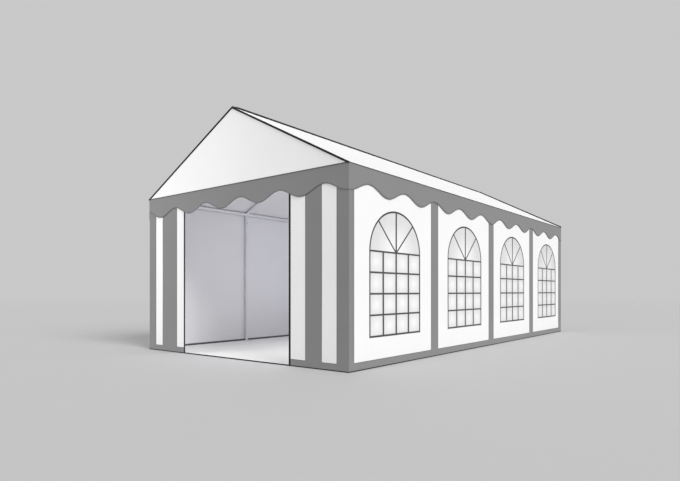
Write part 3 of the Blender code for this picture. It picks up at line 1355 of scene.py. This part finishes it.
@dataclass(frozen=True)
class WindowPanel(WallPanel):
    """A wall panel with an arched film window and its glazing bars.

    The sheet is a set of rings round the opening, along rays from the window's middle.
    The springing's height is the source's own, because the film's box doesn't show it.
    """

    film_node: str = ""
    middle: float = 0.0
    lap: float = 0.025
    spring: float = 1.405
    rings: int = 14
    even_rays: int = 144
    ray_digits: int = 6
    columns: int = 4
    rows: int = 4
    upright_width: float = 0.032
    level_width: float = 0.021
    level_lift: float = 0.0003
    fan_lift: float = 0.0006
    fan_angle: float = 43.0
    bar_height: float = 0.0014
    frame_width: float = 0.023
    frame_lift: float = 0.0002
    arch_points: int = 61
    film_lines: int = 97
    film_reach: float = 0.9995
    film_depth: float = 0.0012
    inner_depth: float = 0.0014
    pillow: float = 0.0025
    # How strongly shade is painted into the panes, and into the arch's fan
    painted_pane_shading: float = 1.2
    painted_fan_shading: float = 0.78

    @property
    def half(self) -> float:
        """Half the window's width."""
        low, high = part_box(self.film_node)
        return (high.y - low.y) / 2.0 - self.lap

    @property
    def sill(self) -> float:
        """The height of the window's lower edge."""
        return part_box(self.film_node)[0].z + self.lap

    @property
    def crown(self) -> float:
        """The height of the arch above its springing."""
        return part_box(self.film_node)[1].z - self.lap - self.spring

    @property
    def centre(self) -> float:
        """The height of the window's middle, where the rays start."""
        return (self.sill + self.spring + self.crown) / 2.0

    @property
    def cut_area(self) -> float:
        """The panel's flat area: the rectangle less the window's straight part and half ellipse."""
        hole = 2.0 * self.half * (self.spring - self.sill) + math.pi / 2 * self.half * self.crown
        return self.flat[0] * self.flat[1] - hole

    def rays(self) -> Array:
        """Directions from the window's middle that meet every corner of it and of the panel.

        Returns:
            The sorted angles.
        """
        left, right = self.low - self.middle, self.high - self.middle
        across = np.array([left, right, left, right, -self.half, self.half])
        up = np.array([0.0, 0.0, self.top, self.top, self.sill, self.sill]) - self.centre
        even = np.linspace(-math.pi, math.pi, self.even_rays, endpoint=False)
        return np.unique(np.round(np.concatenate([even, np.arctan2(up, across)]), self.ray_digits))

    def opening_reach(self, turns: Array) -> Array:
        """How far each ray runs to the opening's edge.

        Below the springing it is the nearer of the jamb and the sill. Above it the ray
        meets the half ellipse, where the quadratic's larger root is taken.

        Args:
            turns: The rays' angles.

        Returns:
            Distances.
        """
        across, up = np.cos(turns), np.sin(turns)
        jamb = self.half / np.maximum(np.abs(across), TINY)
        sill = np.where(up < 0.0, (self.centre - self.sill) / np.maximum(-up, TINY), np.inf)
        straight = np.minimum(jamb, sill)
        drop = self.spring - self.centre
        a = (across / self.half) ** 2 + (up / self.crown) ** 2
        b = -2.0 * up * drop / self.crown**2
        c = (drop / self.crown) ** 2 - 1.0
        curved = (-b + np.sqrt(np.maximum(b * b - 4.0 * a * c, 0.0))) / (2.0 * a)
        return np.where(straight * up > drop, curved, straight)

    def panel_reach(self, turns: Array) -> Array:
        """How far each ray runs to the panel's edge, the nearer of a side and the top or foot.

        Args:
            turns: The rays' angles.

        Returns:
            Distances.
        """
        across, up = np.cos(turns), np.sin(turns)
        side = np.where(across > 0.0, self.high - self.middle, self.middle - self.low)
        rise = np.where(up > 0.0, self.top - self.centre, self.centre)
        reaches = (side / np.maximum(np.abs(across), TINY), rise / np.maximum(np.abs(up), TINY))
        return np.minimum(*reaches)

    def sheet(self) -> Piece:
        """Make the white sheet: rings from the opening's edge out to the panel's edge.

        Returns:
            The sheet.
        """
        turns = self.rays()
        inner = self.opening_reach(turns)
        share = np.linspace(0.0, 1.0, self.rings)[:, None]
        reach = inner + share * (self.panel_reach(turns) - inner)
        along = self.middle + reach * np.cos(turns)
        up = self.centre + reach * np.sin(turns)
        surface = grid(self.surface(along, up), points_of(along, up), around=True)
        patch = surface.turned().thickened(SHEET_THICKNESS)
        return make_piece(self.node + "_sheet", [patch], WHITE_SHEET, [self.node])

    def pane_shade(self, along: Array, up: Array) -> Array:
        """How much shade is painted on a point of its pane, from 0 in the middle towards 1 in the
        corners.

        Below the springing it grows evenly with the distance from the pane's middle, with
        the pane taken as a square. In the fan it is the eased share of the way from hub
        to arch.

        Args:
            along: Distances to the right.
            up: Heights.

        Returns:
            Numbers from 0 to 1.
        """
        across = self.columns * (along - self.middle + self.half) / (2.0 * self.half)
        rise = self.rows * (up - self.sill) / (self.spring - self.sill)
        pane = self.painted_pane_shading * np.hypot(across % 1.0 - 0.5, rise % 1.0 - 0.5)
        from_hub = np.hypot((along - self.middle) / self.half, (up - self.spring) / self.crown)
        return np.where(up > self.spring, self.painted_fan_shading * smooth(from_hub), pane)

    def film(self) -> Piece:
        """Make the film, which lies behind the sheet, is hollow in each pane, and carries the panes'
        painted shade.

        Its columns crowd towards its sides as a sine does, and end just short of them,
        because its arch has no height there.

        Returns:
            The film.
        """
        crowded = np.sin(np.linspace(-0.5, 0.5, self.film_lines) * math.pi)
        along = self.middle + (self.half + self.lap) * crowded * self.film_reach
        share = np.linspace(0.0, 1.0, self.film_lines)[:, None]
        outer = (along - self.middle) / (self.half + self.lap)
        top = self.spring + (self.crown + self.lap) * np.sqrt(1.0 - outer**2)
        bottom = self.sill - self.lap
        up = bottom + share * (top - bottom)
        shade = self.pane_shade(along, up)
        hollow = self.pillow * (1.0 - shade) * (up < self.spring)
        points = self.surface(along, up, -self.film_depth - hollow)
        patch = grid(points, points_of(along, up)).thickened(SHEET_THICKNESS / 2.0)
        piece = make_piece(self.film_node + "_film", [patch], CLEAR_FILM, [self.film_node])
        # The painted shade goes to the film's material as a point attribute
        attribute = piece.data.attributes.new("pane_shade", "FLOAT", "POINT")
        attribute.data.foreach_set("value", np.tile(shade.ravel(), 2).astype(np.float32))
        return piece

    def bar(
        self, start: tuple[float, float], end: tuple[float, float], width: float, lift: float
    ) -> list[Patch]:
        """One straight glazing bar, welded on both faces of the film.

        Args:
            start: The point of the window where it starts, along and up.
            end: The point where it ends.
            width: Its width.
            lift: How far it stands off the film, so that crossing bars don't share a face.

        Returns:
            Its outer and its inner strip.
        """
        section = tape_section(width, self.bar_height)
        outer = self.run([start, end], section, lift - self.film_depth)
        inner = self.run([start, end], -section, -lift - self.film_depth - self.inner_depth)
        return [outer, inner]

    def bars(self) -> Piece:
        """Make the glazing bars: uprights, levels, and the fan above the springing.

        Returns:
            The bars.
        """
        left = self.middle - self.half
        right = left + 2.0 * self.half
        width = 2.0 * self.half / self.columns
        height = (self.spring - self.sill) / self.rows
        patches = []
        for column in range(1, self.columns):
            along = left + column * width
            high = self.spring + (self.crown if 2 * column == self.columns else 0.0)
            patches += self.bar((along, self.sill), (along, high), self.upright_width, 0.0)
        for row in range(1, self.rows + 1):
            up = self.sill + row * height
            patches += self.bar((left, up), (right, up), self.level_width, self.level_lift)
        turn = math.radians(self.fan_angle)
        reach = 1.0 / math.hypot(math.cos(turn) / self.half, math.sin(turn) / self.crown)
        hub = (self.middle, self.spring)
        for side in (-1, 1):
            tip = (self.middle + side * reach * math.cos(turn), self.spring + reach * math.sin(turn))
            patches += self.bar(hub, tip, self.level_width, self.fan_lift)
        return make_piece(self.film_node + "_bars", patches, GLAZING_BAR)

    def frame_tape(self) -> Piece:
        """Make the dark tape welded round the opening's edge.

        Returns:
            The tape.
        """
        turn = np.linspace(0.0, math.pi, self.arch_points)
        along = self.middle + self.half * np.concatenate([[-1.0, 1.0], np.cos(turn)])
        up = np.concatenate([[self.sill, self.sill], self.spring + self.crown * np.sin(turn)])
        path = self.surface(along, up, self.frame_lift)
        section = tape_section(self.frame_width, self.bar_height)
        patch = sweep(path, section, self.plane.outward, closed=True)
        return make_piece(self.film_node + "_frame", [patch], GLAZING_BAR)

    def build(self) -> list[Piece]:
        """Make the sheet, then the pieces on it and in its window."""
        return [*super().build(), self.film(), self.bars(), self.frame_tape()]


@dataclass(frozen=True)
class ZipRun:
    """Zip tape with its row of teeth, up one edge of a doorway, and the zip's slider."""

    name: str
    plane: Plane
    at: float
    top: float
    slider_up: float
    width: float = 0.032
    height: float = 0.002
    lift: float = 0.0004
    step: float = 0.2
    tooth_pitch: float = 0.008
    tooth_lift: float = 0.0008
    tooth_size: Place = (0.007, 0.0045, 0.002)
    slider_lift: float = 0.002
    slider_size: Place = (0.014, 0.02, 0.006)
    puller_drop: float = 0.026
    puller_lift: float = 0.004
    puller_size: Place = (0.009, 0.038, 0.0025)

    def studded(self, up: Array, lift: float, size: Place) -> Patch:
        """Blocks on the tape at some heights, with their middles lifted off it."""
        centres = self.plane.place(self.at, up, self.lift + self.height + lift)
        return blocks(centres, size, self.plane.axes)

    def tape(self) -> None:
        """Make the tape and its teeth."""
        path = self.plane.place(self.at, lines(0.0, self.top, self.step), self.lift)
        tape = sweep(path, tape_section(self.width, self.height), self.plane.outward)
        rise = np.arange(self.tooth_pitch, self.top, self.tooth_pitch)
        teeth = self.studded(rise, self.tooth_lift, self.tooth_size)
        make_piece(self.name, [tape, teeth], BLACK_ZIP)

    def slider(self) -> list[Patch]:
        """The slider's body, and the puller that hangs from it.

        Returns:
            Their closed surfaces.
        """
        up = np.array([self.slider_up])
        body = self.studded(up, self.slider_lift, self.slider_size)
        return [body, self.studded(up - self.puller_drop, self.puller_lift, self.puller_size)]


# Doorway and floor


@dataclass(frozen=True)
class DoorRoll:
    """The front door panel rolled up under the tie beam, with its straps."""

    length: float = 2.36
    thickness: float = 0.0007
    core: float = 0.012
    step: float = 0.15
    steps_a_turn: int = 24
    strap_width: float = 0.025
    strap_thickness: float = 0.0015
    strap_gap: float = 0.0006
    strap_points: int = 17
    strap_places: tuple[float, ...] = (-0.8, 0.0, 0.8)
    waist_lines: tuple[float, ...] = (-0.06, -0.03, 0.0, 0.03, 0.06)
    waist_reach: float = 0.05
    waist_share: float = 0.06
    drawn_in: float = 0.96

    def sheet(self) -> Piece:
        """Make the rolled sheet.

        The radius grows evenly with the angle, from the core to the roll's outer face, and
        the number of turns gives the spiral the door's length. The straps draw it in where
        they go round it, by a share that falls off as a bell does.

        Returns:
            The sheet.
        """
        low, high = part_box("door_roll")
        middle, half = round_node("door_roll")
        outer = half - self.thickness
        mean = (self.core + outer) / 2.0
        turns = self.length / (FULL_TURN * mean)
        turn = np.linspace(0.0, FULL_TURN * turns, int(turns * self.steps_a_turn) + 1)[:, None]
        waists = [place + edge for place in self.strap_places for edge in self.waist_lines]
        along = lines(low.x, high.x, self.step, waists)
        off = (along[:, None] - np.array(self.strap_places)) / self.waist_reach
        waist = np.exp(-(off**2)).sum(axis=-1)
        radius = self.core + (outer - self.core) * turn / turn.max()
        radius = radius * (1.0 - self.waist_share * waist)
        points = points_of(along, middle[1] + radius * np.cos(turn), middle[2] + radius * np.sin(turn))
        patch = grid(points, points_of(along, turn * mean)).thickened(-self.thickness).turned()
        return make_piece("door_roll_sheet", [patch], WHITE_SHEET, ["door_roll"])

    def straps(self) -> Piece:
        """Make the straps, each a loop round the roll and the beam above it.

        Returns:
            The straps.
        """
        roll, roll_radius = round_node("door_roll")
        beam, beam_radius = round_node("front_tie_beam")
        half = np.linspace(-math.pi / 2.0, math.pi / 2.0, self.strap_points)
        below = arc(roll, roll_radius * self.drawn_in, math.pi + half, X_AXIS)
        above = arc(beam, beam_radius + self.strap_gap, half, X_AXIS)
        path = np.concatenate([below, above])
        section = strap_section(self.strap_width, self.strap_thickness)
        patches = []
        for at in self.strap_places:
            path[:, 0] = at
            patches.append(sweep(path, section, X_AXIS, closed=True))
        return make_piece("door_roll_straps", patches, BLACK_ZIP)


@dataclass(frozen=True)
class Groundsheet:
    """The sheet on the ground, notched round the foot plates, with a hemmed edge."""

    step: float = 0.08
    clearance: float = 0.004
    ripple: float = 0.0007
    ripples_across: float = 2.3
    ripples_along: float = 1.9
    ripple_bend: float = 1.1
    bends_along: float = 1.7
    cord_radius: float = 0.008
    cord_step: float = 0.2

    def plates(self) -> Array:
        """The lowest and highest corners of the foot plates, with their clearance (n, 2, 2)."""
        corners = np.array([[low.xy, high.xy] for low, high in leg_boxes()])
        return corners + self.clearance * np.array([[-1.0], [1.0]])

    def sheet(self) -> Piece:
        """Make the sheet: a rippled grid without the cells that lie over a foot plate.

        It lies lower by the ripple times one plus the product of two sines: one across,
        whose angle a sine along bends, and one along.

        Returns:
            The sheet.
        """
        low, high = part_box("groundsheet")
        plates = self.plates()
        across = lines(low.x, high.x, self.step, np.unique(plates[..., 0]))
        along = lines(low.y, high.y, self.step, np.unique(plates[..., 1]))
        x, y = np.meshgrid(across, along)
        bend = self.ripple_bend * np.sin(self.bends_along * y)
        swell = np.sin(self.ripples_across * x + bend) * np.sin(self.ripples_along * y)
        surface = grid(points_of(x, y, high.z - self.ripple * (1.0 + swell)), points_of(x, y))
        cells = surface.faces[0]
        middle = surface.points[cells].mean(axis=1)[:, None, :2]
        inside = (middle > plates[:, 0]) & (middle < plates[:, 1])
        used, faces = np.unique(cells[~inside.all(axis=-1).any(axis=-1)], return_inverse=True)
        kept = Patch(surface.points[used], (faces.reshape(-1, 4),), surface.flat[used])
        patch = kept.thickened(high.z / 2.0)
        return make_piece("groundsheet_sheet", [patch], GROUND_SHEET, ["groundsheet"])

    def doorway_cord(self, half_door: float) -> Piece:
        """Make the dark cord along the sheet's edge in the doorway.

        Args:
            half_door: Half the doorway's width.

        Returns:
            The cord.
        """
        radius = self.cord_radius
        along = lines(-half_door, half_door, self.cord_step)
        path = points_of(along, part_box("groundsheet")[0].y - radius, radius)
        patch = sweep(path, round_section(radius), Z_AXIS)
        return make_piece("groundsheet_cord", [patch], DARK_PIPING)


# Small parts of the frame


@dataclass(frozen=True)
class Fastenings:
    """Bolts through the fittings, pegs in the foot plates, and the straps that hold the walls up."""

    sizes: Sizes
    fitting_radius: float = 0.029
    tube_radius: float = 0.025
    from_hub: float = 0.165
    sunk: float = 0.001
    round_sides: int = 16
    bolt_radius: float = 0.0085
    bolt_height: float = 0.0065
    washer_radius_share: float = 1.35
    washer_height_share: float = 0.35
    peg_inset: float = 0.022
    peg_radius: float = 0.009
    peg_height: float = 0.014
    peg_sides: int = 12
    collar_radius: float = 0.015
    collar_height: float = 0.004
    plate_top: float = 0.006
    strap_width: float = 0.04
    strap_thickness: float = 0.0016
    strap_gap: float = 0.0005
    rail_straps: tuple[float, ...] = (-0.7, -0.25, 0.25, 0.7)
    beam_straps: tuple[float, ...] = (-1.55, -1.25, 1.25, 1.55)
    door_straps: tuple[float, ...] = (-0.75, -0.25, 0.25, 0.75)

    @property
    def rail_x(self) -> float:
        """How far the eave rails' axes lie from the middle."""
        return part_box("eave_rail_right")[1].x - self.fitting_radius

    @property
    def ridge_axis(self) -> float:
        """The height of the ridge rail's axis."""
        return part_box("ridge_rail")[1].z - self.fitting_radius

    def socket_middles(self) -> tuple[Array, Array]:
        """Points on the axes of the sockets, and the directions that their bolts point in.

        Every socket leaves its hub along a leg, a rafter, a beam or a rail. Bolts point
        into the marquee: across it on legs and eave rails, down on the ridge rail, and
        along it on rafters and beams.

        Returns:
            The points and the directions.
        """
        sizes = self.sizes
        pitch = math.atan(sizes.slope)
        found = []
        for station in sizes.stations:
            inward = -Y_AXIS if station > 0.0 else Y_AXIS
            ends = {way: abs(station + way * self.from_hub) for way in (-1.0, 1.0)}
            ways = [way * Y_AXIS for way, end in ends.items() if end < sizes.half_length]
            crest = np.array([0.0, station, self.ridge_axis])
            found += [(crest, way, -Z_AXIS) for way in ways]
            for side in (-1.0, 1.0):
                hub = np.array([side * self.rail_x, station, sizes.wall_top])
                slant = np.array([side * math.cos(pitch), 0.0, -math.sin(pitch)])
                middle = -side * X_AXIS
                found += [(crest, slant, inward), (hub, -slant, inward), (hub, -Z_AXIS, middle)]
                found += [(hub, way, middle) for way in ways]
                if len(ways) == 1:
                    found.append((hub, middle, inward))
        hubs, arms, pointing = (np.array(column) for column in zip(*found))
        return hubs + self.from_hub * arms, pointing

    def bolts(self) -> None:
        """Make a hexagon bolt head on each socket, with a washer sized by shares of the head."""
        middles, pointing = self.socket_middles()
        feet = middles + (self.fitting_radius - self.sunk) * pointing
        radius = self.washer_radius_share * self.bolt_radius
        height = self.washer_height_share * self.bolt_height
        washers = studs(feet, pointing, radius, height, self.round_sides)
        heads = studs(feet, pointing, self.bolt_radius, self.bolt_height + self.sunk)
        make_piece("fitting_bolts", [washers, heads], ZINC_BOLT)

    def pegs(self) -> None:
        """Make the heads of the two pegs in each foot plate, at the corners inside the marquee."""
        feet = []
        for low, high in leg_boxes():
            inner = low.x + self.peg_inset if low.x > 0.0 else high.x - self.peg_inset
            for along in (low.y + self.peg_inset, high.y - self.peg_inset):
                feet.append((inner, along, self.plate_top - self.sunk))
        feet = np.array(feet)
        up = np.broadcast_to(Z_AXIS, feet.shape)
        collars = studs(feet, up, self.collar_radius, self.collar_height, self.round_sides)
        heads = studs(feet, up, self.peg_radius, self.peg_height, self.peg_sides)
        make_piece("peg_heads", [collars, heads], ZINC_BOLT)

    def wall_straps(self) -> None:
        """Make the straps round the eave rails and the tie beams that the walls hang from."""
        sizes = self.sizes
        rail = (np.array(sizes.bays).mean(axis=1)[:, None] + self.rail_straps).ravel()
        runs = [(Y_AXIS, side * self.rail_x * X_AXIS, rail) for side in (-1.0, 1.0)]
        runs.append((X_AXIS, sizes.stations[0] * Y_AXIS, self.beam_straps))
        runs.append((X_AXIS, sizes.stations[-1] * Y_AXIS, self.beam_straps + self.door_straps))
        radius = self.tube_radius + self.strap_gap
        section = strap_section(self.strap_width, self.strap_thickness)
        patches = [
            loop(start + at * axis + sizes.wall_top * Z_AXIS, radius, section, axis)
            for axis, start, places in runs
            for at in places
        ]
        make_piece("wall_straps", patches, WHITE_SHEET)

    def build(self) -> None:
        """Make them all."""
        self.bolts()
        self.pegs()
        self.wall_straps()


# The whole marquee


@dataclass(frozen=True)
class Marquee:
    """All of the marquee's pieces."""

    sizes: Sizes
    divider: float = 0.21
    near_corner: float = 0.1
    far_corner: float = 0.2
    left_corner: float = -1.815
    left_stripe: Stripe = Stripe(-1.64, -1.265)
    right_stripe: Stripe = Stripe(1.335, 1.596)
    right_corner: float = 1.82
    end_foot_band: float = 0.088
    front_pitch: float = 0.735
    side_pitch: float = 0.8
    window_slack: Slack = Slack(0.007, 2.2, 0.0, 1.7)
    plain_slack: Slack = Slack(0.01, 2.6, 0.8, 2.1)
    end_slack: Slack = Slack(0.004, 1.4, 0.5)
    door_slack: Slack = Slack(0.009, 2.3, 1.1)
    door_gap: float = 0.0005
    front_sliders: float = 2.2
    back_sliders: float = 0.06

    def build_roof(self) -> None:
        """Make the roof, its gables and its edges."""
        sizes = self.sizes
        roof = RoofCover(sizes)
        sheet = roof.sheet()
        for face in (Face.FRONT, Face.BACK):
            gable = roof.gable(sizes.eave_plane(face), f"gable_{face.name.lower()}")
        roof.piping()
        roof.welts()

    def build_valances(self) -> None:
        """Make the four valances. The back one has a lobe at its left end, the others at the right."""
        for face in Face:
            half = self.sizes.half_along(face)
            valance = Valance(
                f"valance_{face.name.lower()}",
                self.sizes.eave_plane(face),
                half,
                self.sizes.eave,
                lobe_at=-half if face is Face.BACK else half,
                pitch=self.front_pitch if face.is_end else self.side_pitch,
            )
            strip = valance.strip()
            trim = [valance.binding()]
            flat = (2.0 * half, valance.drop)
            area = 2.0 * half * (valance.drop - valance.wave)

    def hang(self, panel: WallPanel) -> None:
        """Make a wall panel.

        Args:
            panel: The panel.
        """
        sheet, *trim = panel.build()

    def side_stripes(self, bay: int, low: float, high: float) -> tuple[Stripe, ...]:
        """The grey stripes at both edges of a side panel.

        Args:
            bay: Its number from the front, from 0.
            low: The panel's edge nearer the front.
            high: The panel's edge nearer the back.

        Returns:
            The two stripes.
        """
        near = self.near_corner if bay == 0 else self.divider / 2.0
        far = self.far_corner if bay == len(self.sizes.bays) - 1 else self.divider / 2.0
        return Stripe(low, low + near), Stripe(high - far, high)

    def build_side_walls(self) -> None:
        """Make the side panels: with windows on the right, plain on the left."""
        sizes = self.sizes
        bay_length = 2.0 * sizes.half_length / len(sizes.bays)
        for bay, (low, high) in enumerate(sizes.bays):
            stripes = self.side_stripes(bay, low, high)
            window = WindowPanel(
                f"wall_right_{bay + 1}",
                sizes.wall_plane(Face.RIGHT),
                low,
                high,
                sizes.wall_top,
                self.window_slack.of_panel(bay),
                stripes,
                film_node=f"window_right_{bay + 1}",
                middle=(bay + 0.5) * bay_length - sizes.half_length,
            )
            self.hang(window)
            plain = WallPanel(
                f"wall_left_{bay + 1}",
                sizes.wall_plane(Face.LEFT),
                -high,
                -low,
                sizes.wall_top,
                self.plain_slack.of_panel(bay),
                tuple(stripe.mirrored() for stripe in reversed(stripes)),
            )
            self.hang(plain)

    def build_end(self, face: Face, sides: tuple[str, str], slider_up: float) -> list[Patch]:
        """Make the panels beside one doorway, and the zips at its edges.

        Args:
            face: The end.
            sides: Which sides of the marquee are on the left and right, seen from outside.
            slider_up: The height of the zips' sliders.

        Returns:
            The sliders' surfaces.
        """
        sizes = self.sizes
        end = face.name.lower()
        plane = sizes.wall_plane(face)
        left_stripes = (Stripe(-sizes.wall_x, self.left_corner), self.left_stripe)
        right_stripes = (self.right_stripe, Stripe(self.right_corner, sizes.wall_x))
        halves = (
            (-sizes.wall_x, -sizes.half_door, left_stripes),
            (sizes.half_door, sizes.wall_x, right_stripes),
        )
        for side, (low, high, stripes) in zip(sides, halves):
            node = f"{end}_wall_{side}"
            top, slack, band = sizes.wall_top, self.end_slack, self.end_foot_band
            self.hang(WallPanel(node, plane, low, high, top, slack, stripes, band))
        sliders = []
        for side, at in zip(sides, (-sizes.half_door, sizes.half_door)):
            zip_run = ZipRun(f"{end}_zip_{side}", plane, at, sizes.wall_top, slider_up)
            zip_run.tape()
            sliders += zip_run.slider()
        return sliders

    def build_end_walls(self) -> None:
        """Make both ends' panels and zips, and the door that closes the back doorway."""
        sizes = self.sizes
        sliders = self.build_end(Face.FRONT, ("left", "right"), self.front_sliders)
        sliders += self.build_end(Face.BACK, ("right", "left"), self.back_sliders)
        make_piece("zip_sliders", sliders, ZINC_BOLT)
        half = sizes.half_door - self.door_gap
        plane = sizes.wall_plane(Face.BACK)
        top, slack, band = sizes.wall_top, self.door_slack, self.end_foot_band
        door = WallPanel("back_door", plane, -half, half, top, slack, foot_band=band)
        self.hang(door)

    def build_doorway(self) -> None:
        """Make the rolled-up front door and the groundsheet."""
        roll = DoorRoll()
        sheet = roll.sheet()
        straps = roll.straps()
        ground = Groundsheet()
        floor = ground.sheet()
        cord = ground.doorway_cord(self.sizes.half_door)

    def dress_frame(self) -> None:
        """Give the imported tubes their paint."""
        paint = PALE_TUBE.material()
        for name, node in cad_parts.items():
            if not node.hide_render:
                node.data.materials.clear()
                node.data.materials.append(paint)
                log.info("%s: painted", name)

    def build(self) -> None:
        """Make everything, in order."""
        self.build_roof()
        self.build_valances()
        self.build_side_walls()
        self.build_end_walls()
        self.build_doorway()
        Fastenings(self.sizes).build()
        self.dress_frame()


# Studio


@dataclass(frozen=True)
class Sun:
    """A broad distant light. Its angles are degrees: from the front to the right, and up."""

    name: str
    azimuth: float
    height: float
    strength: float
    width: float

    def build(self) -> Light:
        """Make the light.

        Returns:
            Its object.
        """
        data = bpy.data.lights.new(self.name, "SUN")
        data.energy = self.strength
        data.angle = math.radians(self.width)
        light = link(self.name, data)
        light.rotation_euler = (math.radians(90.0 - self.height), 0.0, math.radians(self.azimuth))
        return light


@dataclass(frozen=True)
class SoftPanel:
    """A soft panel light that the camera doesn't see, with its beam's spread in degrees."""

    name: str
    size: tuple[float, float]
    place: Place
    aim: Place
    power: float
    color: Color = (1.0, 1.0, 1.0)
    spread: float = 180.0

    def build(self) -> Light:
        """Make the light.

        Returns:
            Its object.
        """
        data = bpy.data.lights.new(self.name, "AREA")
        data.shape = "RECTANGLE"
        data.size, data.size_y = self.size
        data.energy = self.power
        data.color = self.color
        data.spread = math.radians(self.spread)
        light = link(self.name, data)
        light.location = self.place
        facing = Vector(self.aim) - Vector(self.place)
        light.rotation_euler = facing.to_track_quat("-Z", "Y").to_euler()
        light.visible_camera = False
        light.visible_glossy = False
        return light


@dataclass(frozen=True)
class Studio:
    """Pale floor, soft light, and the camera at the picture's place."""

    camera_place: Place = (5.657, -8.759, 0.918)
    camera_turn: float = 38.49
    lens: float = 28.26
    rise: float = 0.0749
    sight: float = 200.0
    backdrop: Color = (0.58, 0.58, 0.58)
    floor_color: Color = (0.56, 0.56, 0.56)
    floor_roughness: float = 0.9
    floor_sides: int = 96
    floor_rings: tuple[float, ...] = (0.001, 6.0, 12.0, 24.0, 40.0, 60.0)
    fade_from: float = 24.0
    key_light: Sun = Sun("key_light", 78.0, 32.0, 2.38, 30.0)
    fill_light: Sun = Sun("fill_light", 248.0, 34.0, 0.9, 40.0)
    front_light: SoftPanel = SoftPanel(
        "front_light", (3.0, 2.0), (-4.6, -9.5, 2.8), (-2.2, -4.0, 1.5), 256.0
    )
    glow_color: Color = (0.88, 0.87, 1.0)
    glow_length: float = 1.8
    glow_gap: float = 0.3
    roof_glow: tuple[float, float] = (0.8, 36.0)
    floor_glow: tuple[float, float] = (2.4, 22.0)
    door_glow_at: tuple[float, float, float] = (0.1, -0.6, 2.2)
    door_glow_size: tuple[float, float] = (1.8, 2.8)
    door_glow_power: float = 9.5
    door_glow_color: Color = (1.0, 1.0, 0.98)
    door_glow_spread: float = 90.0

    def camera(self) -> None:
        """Make the camera: level, with a vertical shift as in the picture."""
        data = bpy.data.cameras.new("camera")
        data.lens = self.lens
        data.shift_y = self.rise
        data.clip_end = self.sight
        camera = link("camera", data)
        camera.location = self.camera_place
        camera.rotation_euler = (math.radians(90.0), 0.0, math.radians(self.camera_turn))
        bpy.context.scene.camera = camera

    def world(self) -> None:
        """Make the even light all round."""
        world = bpy.data.worlds.new("studio")
        world.use_nodes = True
        ground = world.node_tree.nodes["Background"]
        ground.inputs["Color"].default_value = (*self.backdrop, 1.0)
        ground.inputs["Strength"].default_value = 1.0
        bpy.context.scene.world = world
        bpy.context.scene.view_settings.view_transform = "Standard"

    def glows(self, sizes: Sizes) -> list[SoftPanel]:
        """The lights inside: under the ridge, over the groundsheet, and behind the doorway.

        Args:
            sizes: The marquee's sizes.

        Returns:
            The three lights.
        """
        color = self.glow_color
        length = self.glow_length * sizes.half_length
        high = (0.0, 0.0, sizes.ridge - self.glow_gap)
        low = (0.0, 0.0, self.glow_gap)
        roof_width, roof_power = self.roof_glow
        floor_width, floor_power = self.floor_glow
        across, share, up = self.door_glow_at
        along = share * sizes.half_length
        door = SoftPanel(
            "door_glow",
            self.door_glow_size,
            (across, along, up),
            (across, along, 0.0),
            self.door_glow_power,
            self.door_glow_color,
            self.door_glow_spread,
        )
        return [
            SoftPanel("roof_glow", (roof_width, length), high, (0.0, 0.0, 0.0), roof_power, color),
            SoftPanel("floor_glow", (floor_width, length), low, high, floor_power, color),
            door,
        ]

    def spare(self, light: Light, piece: Piece) -> None:
        """Keep a light off one object.

        Args:
            light: The light.
            piece: The object.
        """
        spared = bpy.data.collections.new(light.name + "_spared")
        spared.objects.link(piece)
        spared.collection_objects[0].light_linking.link_state = "EXCLUDE"
        light.light_linking.receiver_collection = spared

    def floor(self) -> Piece:
        """Make the floor, a disc that fades into the backdrop at its rim.

        Its opacity falls evenly from one where the fade starts to nothing at the rim.

        Returns:
            The floor.
        """
        turn = even_turns(self.floor_sides)
        radius = np.array(self.floor_rings)[:, None]
        points = points_of(radius * np.cos(turn), radius * np.sin(turn), 0.0)
        mesh = make_mesh("floor", grid(points, points[..., :2], around=True).turned())
        material, wiring = new_material("floor")
        wiring.shade("Base Color", (*self.floor_color, 1.0))
        wiring.shade("Roughness", self.floor_roughness)
        reach = wiring.node("ShaderNodeVectorMath", operation="LENGTH")
        wiring.feed(reach.inputs[0], wiring.place("Object"))
        rim = self.floor_rings[-1]
        span = rim - self.fade_from
        reached = reach.outputs["Value"]
        fade = wiring.math("MULTIPLY_ADD", reached, -1.0 / span, rim / span, clamp=True)
        wiring.shade("Alpha", fade)
        mesh.materials.append(material)
        piece = link("floor", mesh)
        return piece

    def build(self, sizes: Sizes) -> None:
        """Make the studio. The front and fill lights are kept off the floor, which is lit enough.

        Args:
            sizes: The marquee's sizes.
        """
        self.camera()
        self.world()
        self.key_light.build()
        fill_light = self.fill_light.build()
        front_light = self.front_light.build()
        for glow in self.glows(sizes):
            glow.build()
        floor = self.floor()
        self.spare(front_light, floor)
        self.spare(fill_light, floor)


def main() -> None:
    """Build the studio and the marquee."""
    logging.basicConfig(level=logging.INFO, format="%(message)s")
    make_weave_group()
    make_mottle_group()
    make_dust_group()
    sizes = Sizes.read()
    Studio().build(sizes)
    Marquee(sizes).build()


if __name__ == "__main__":
    main()
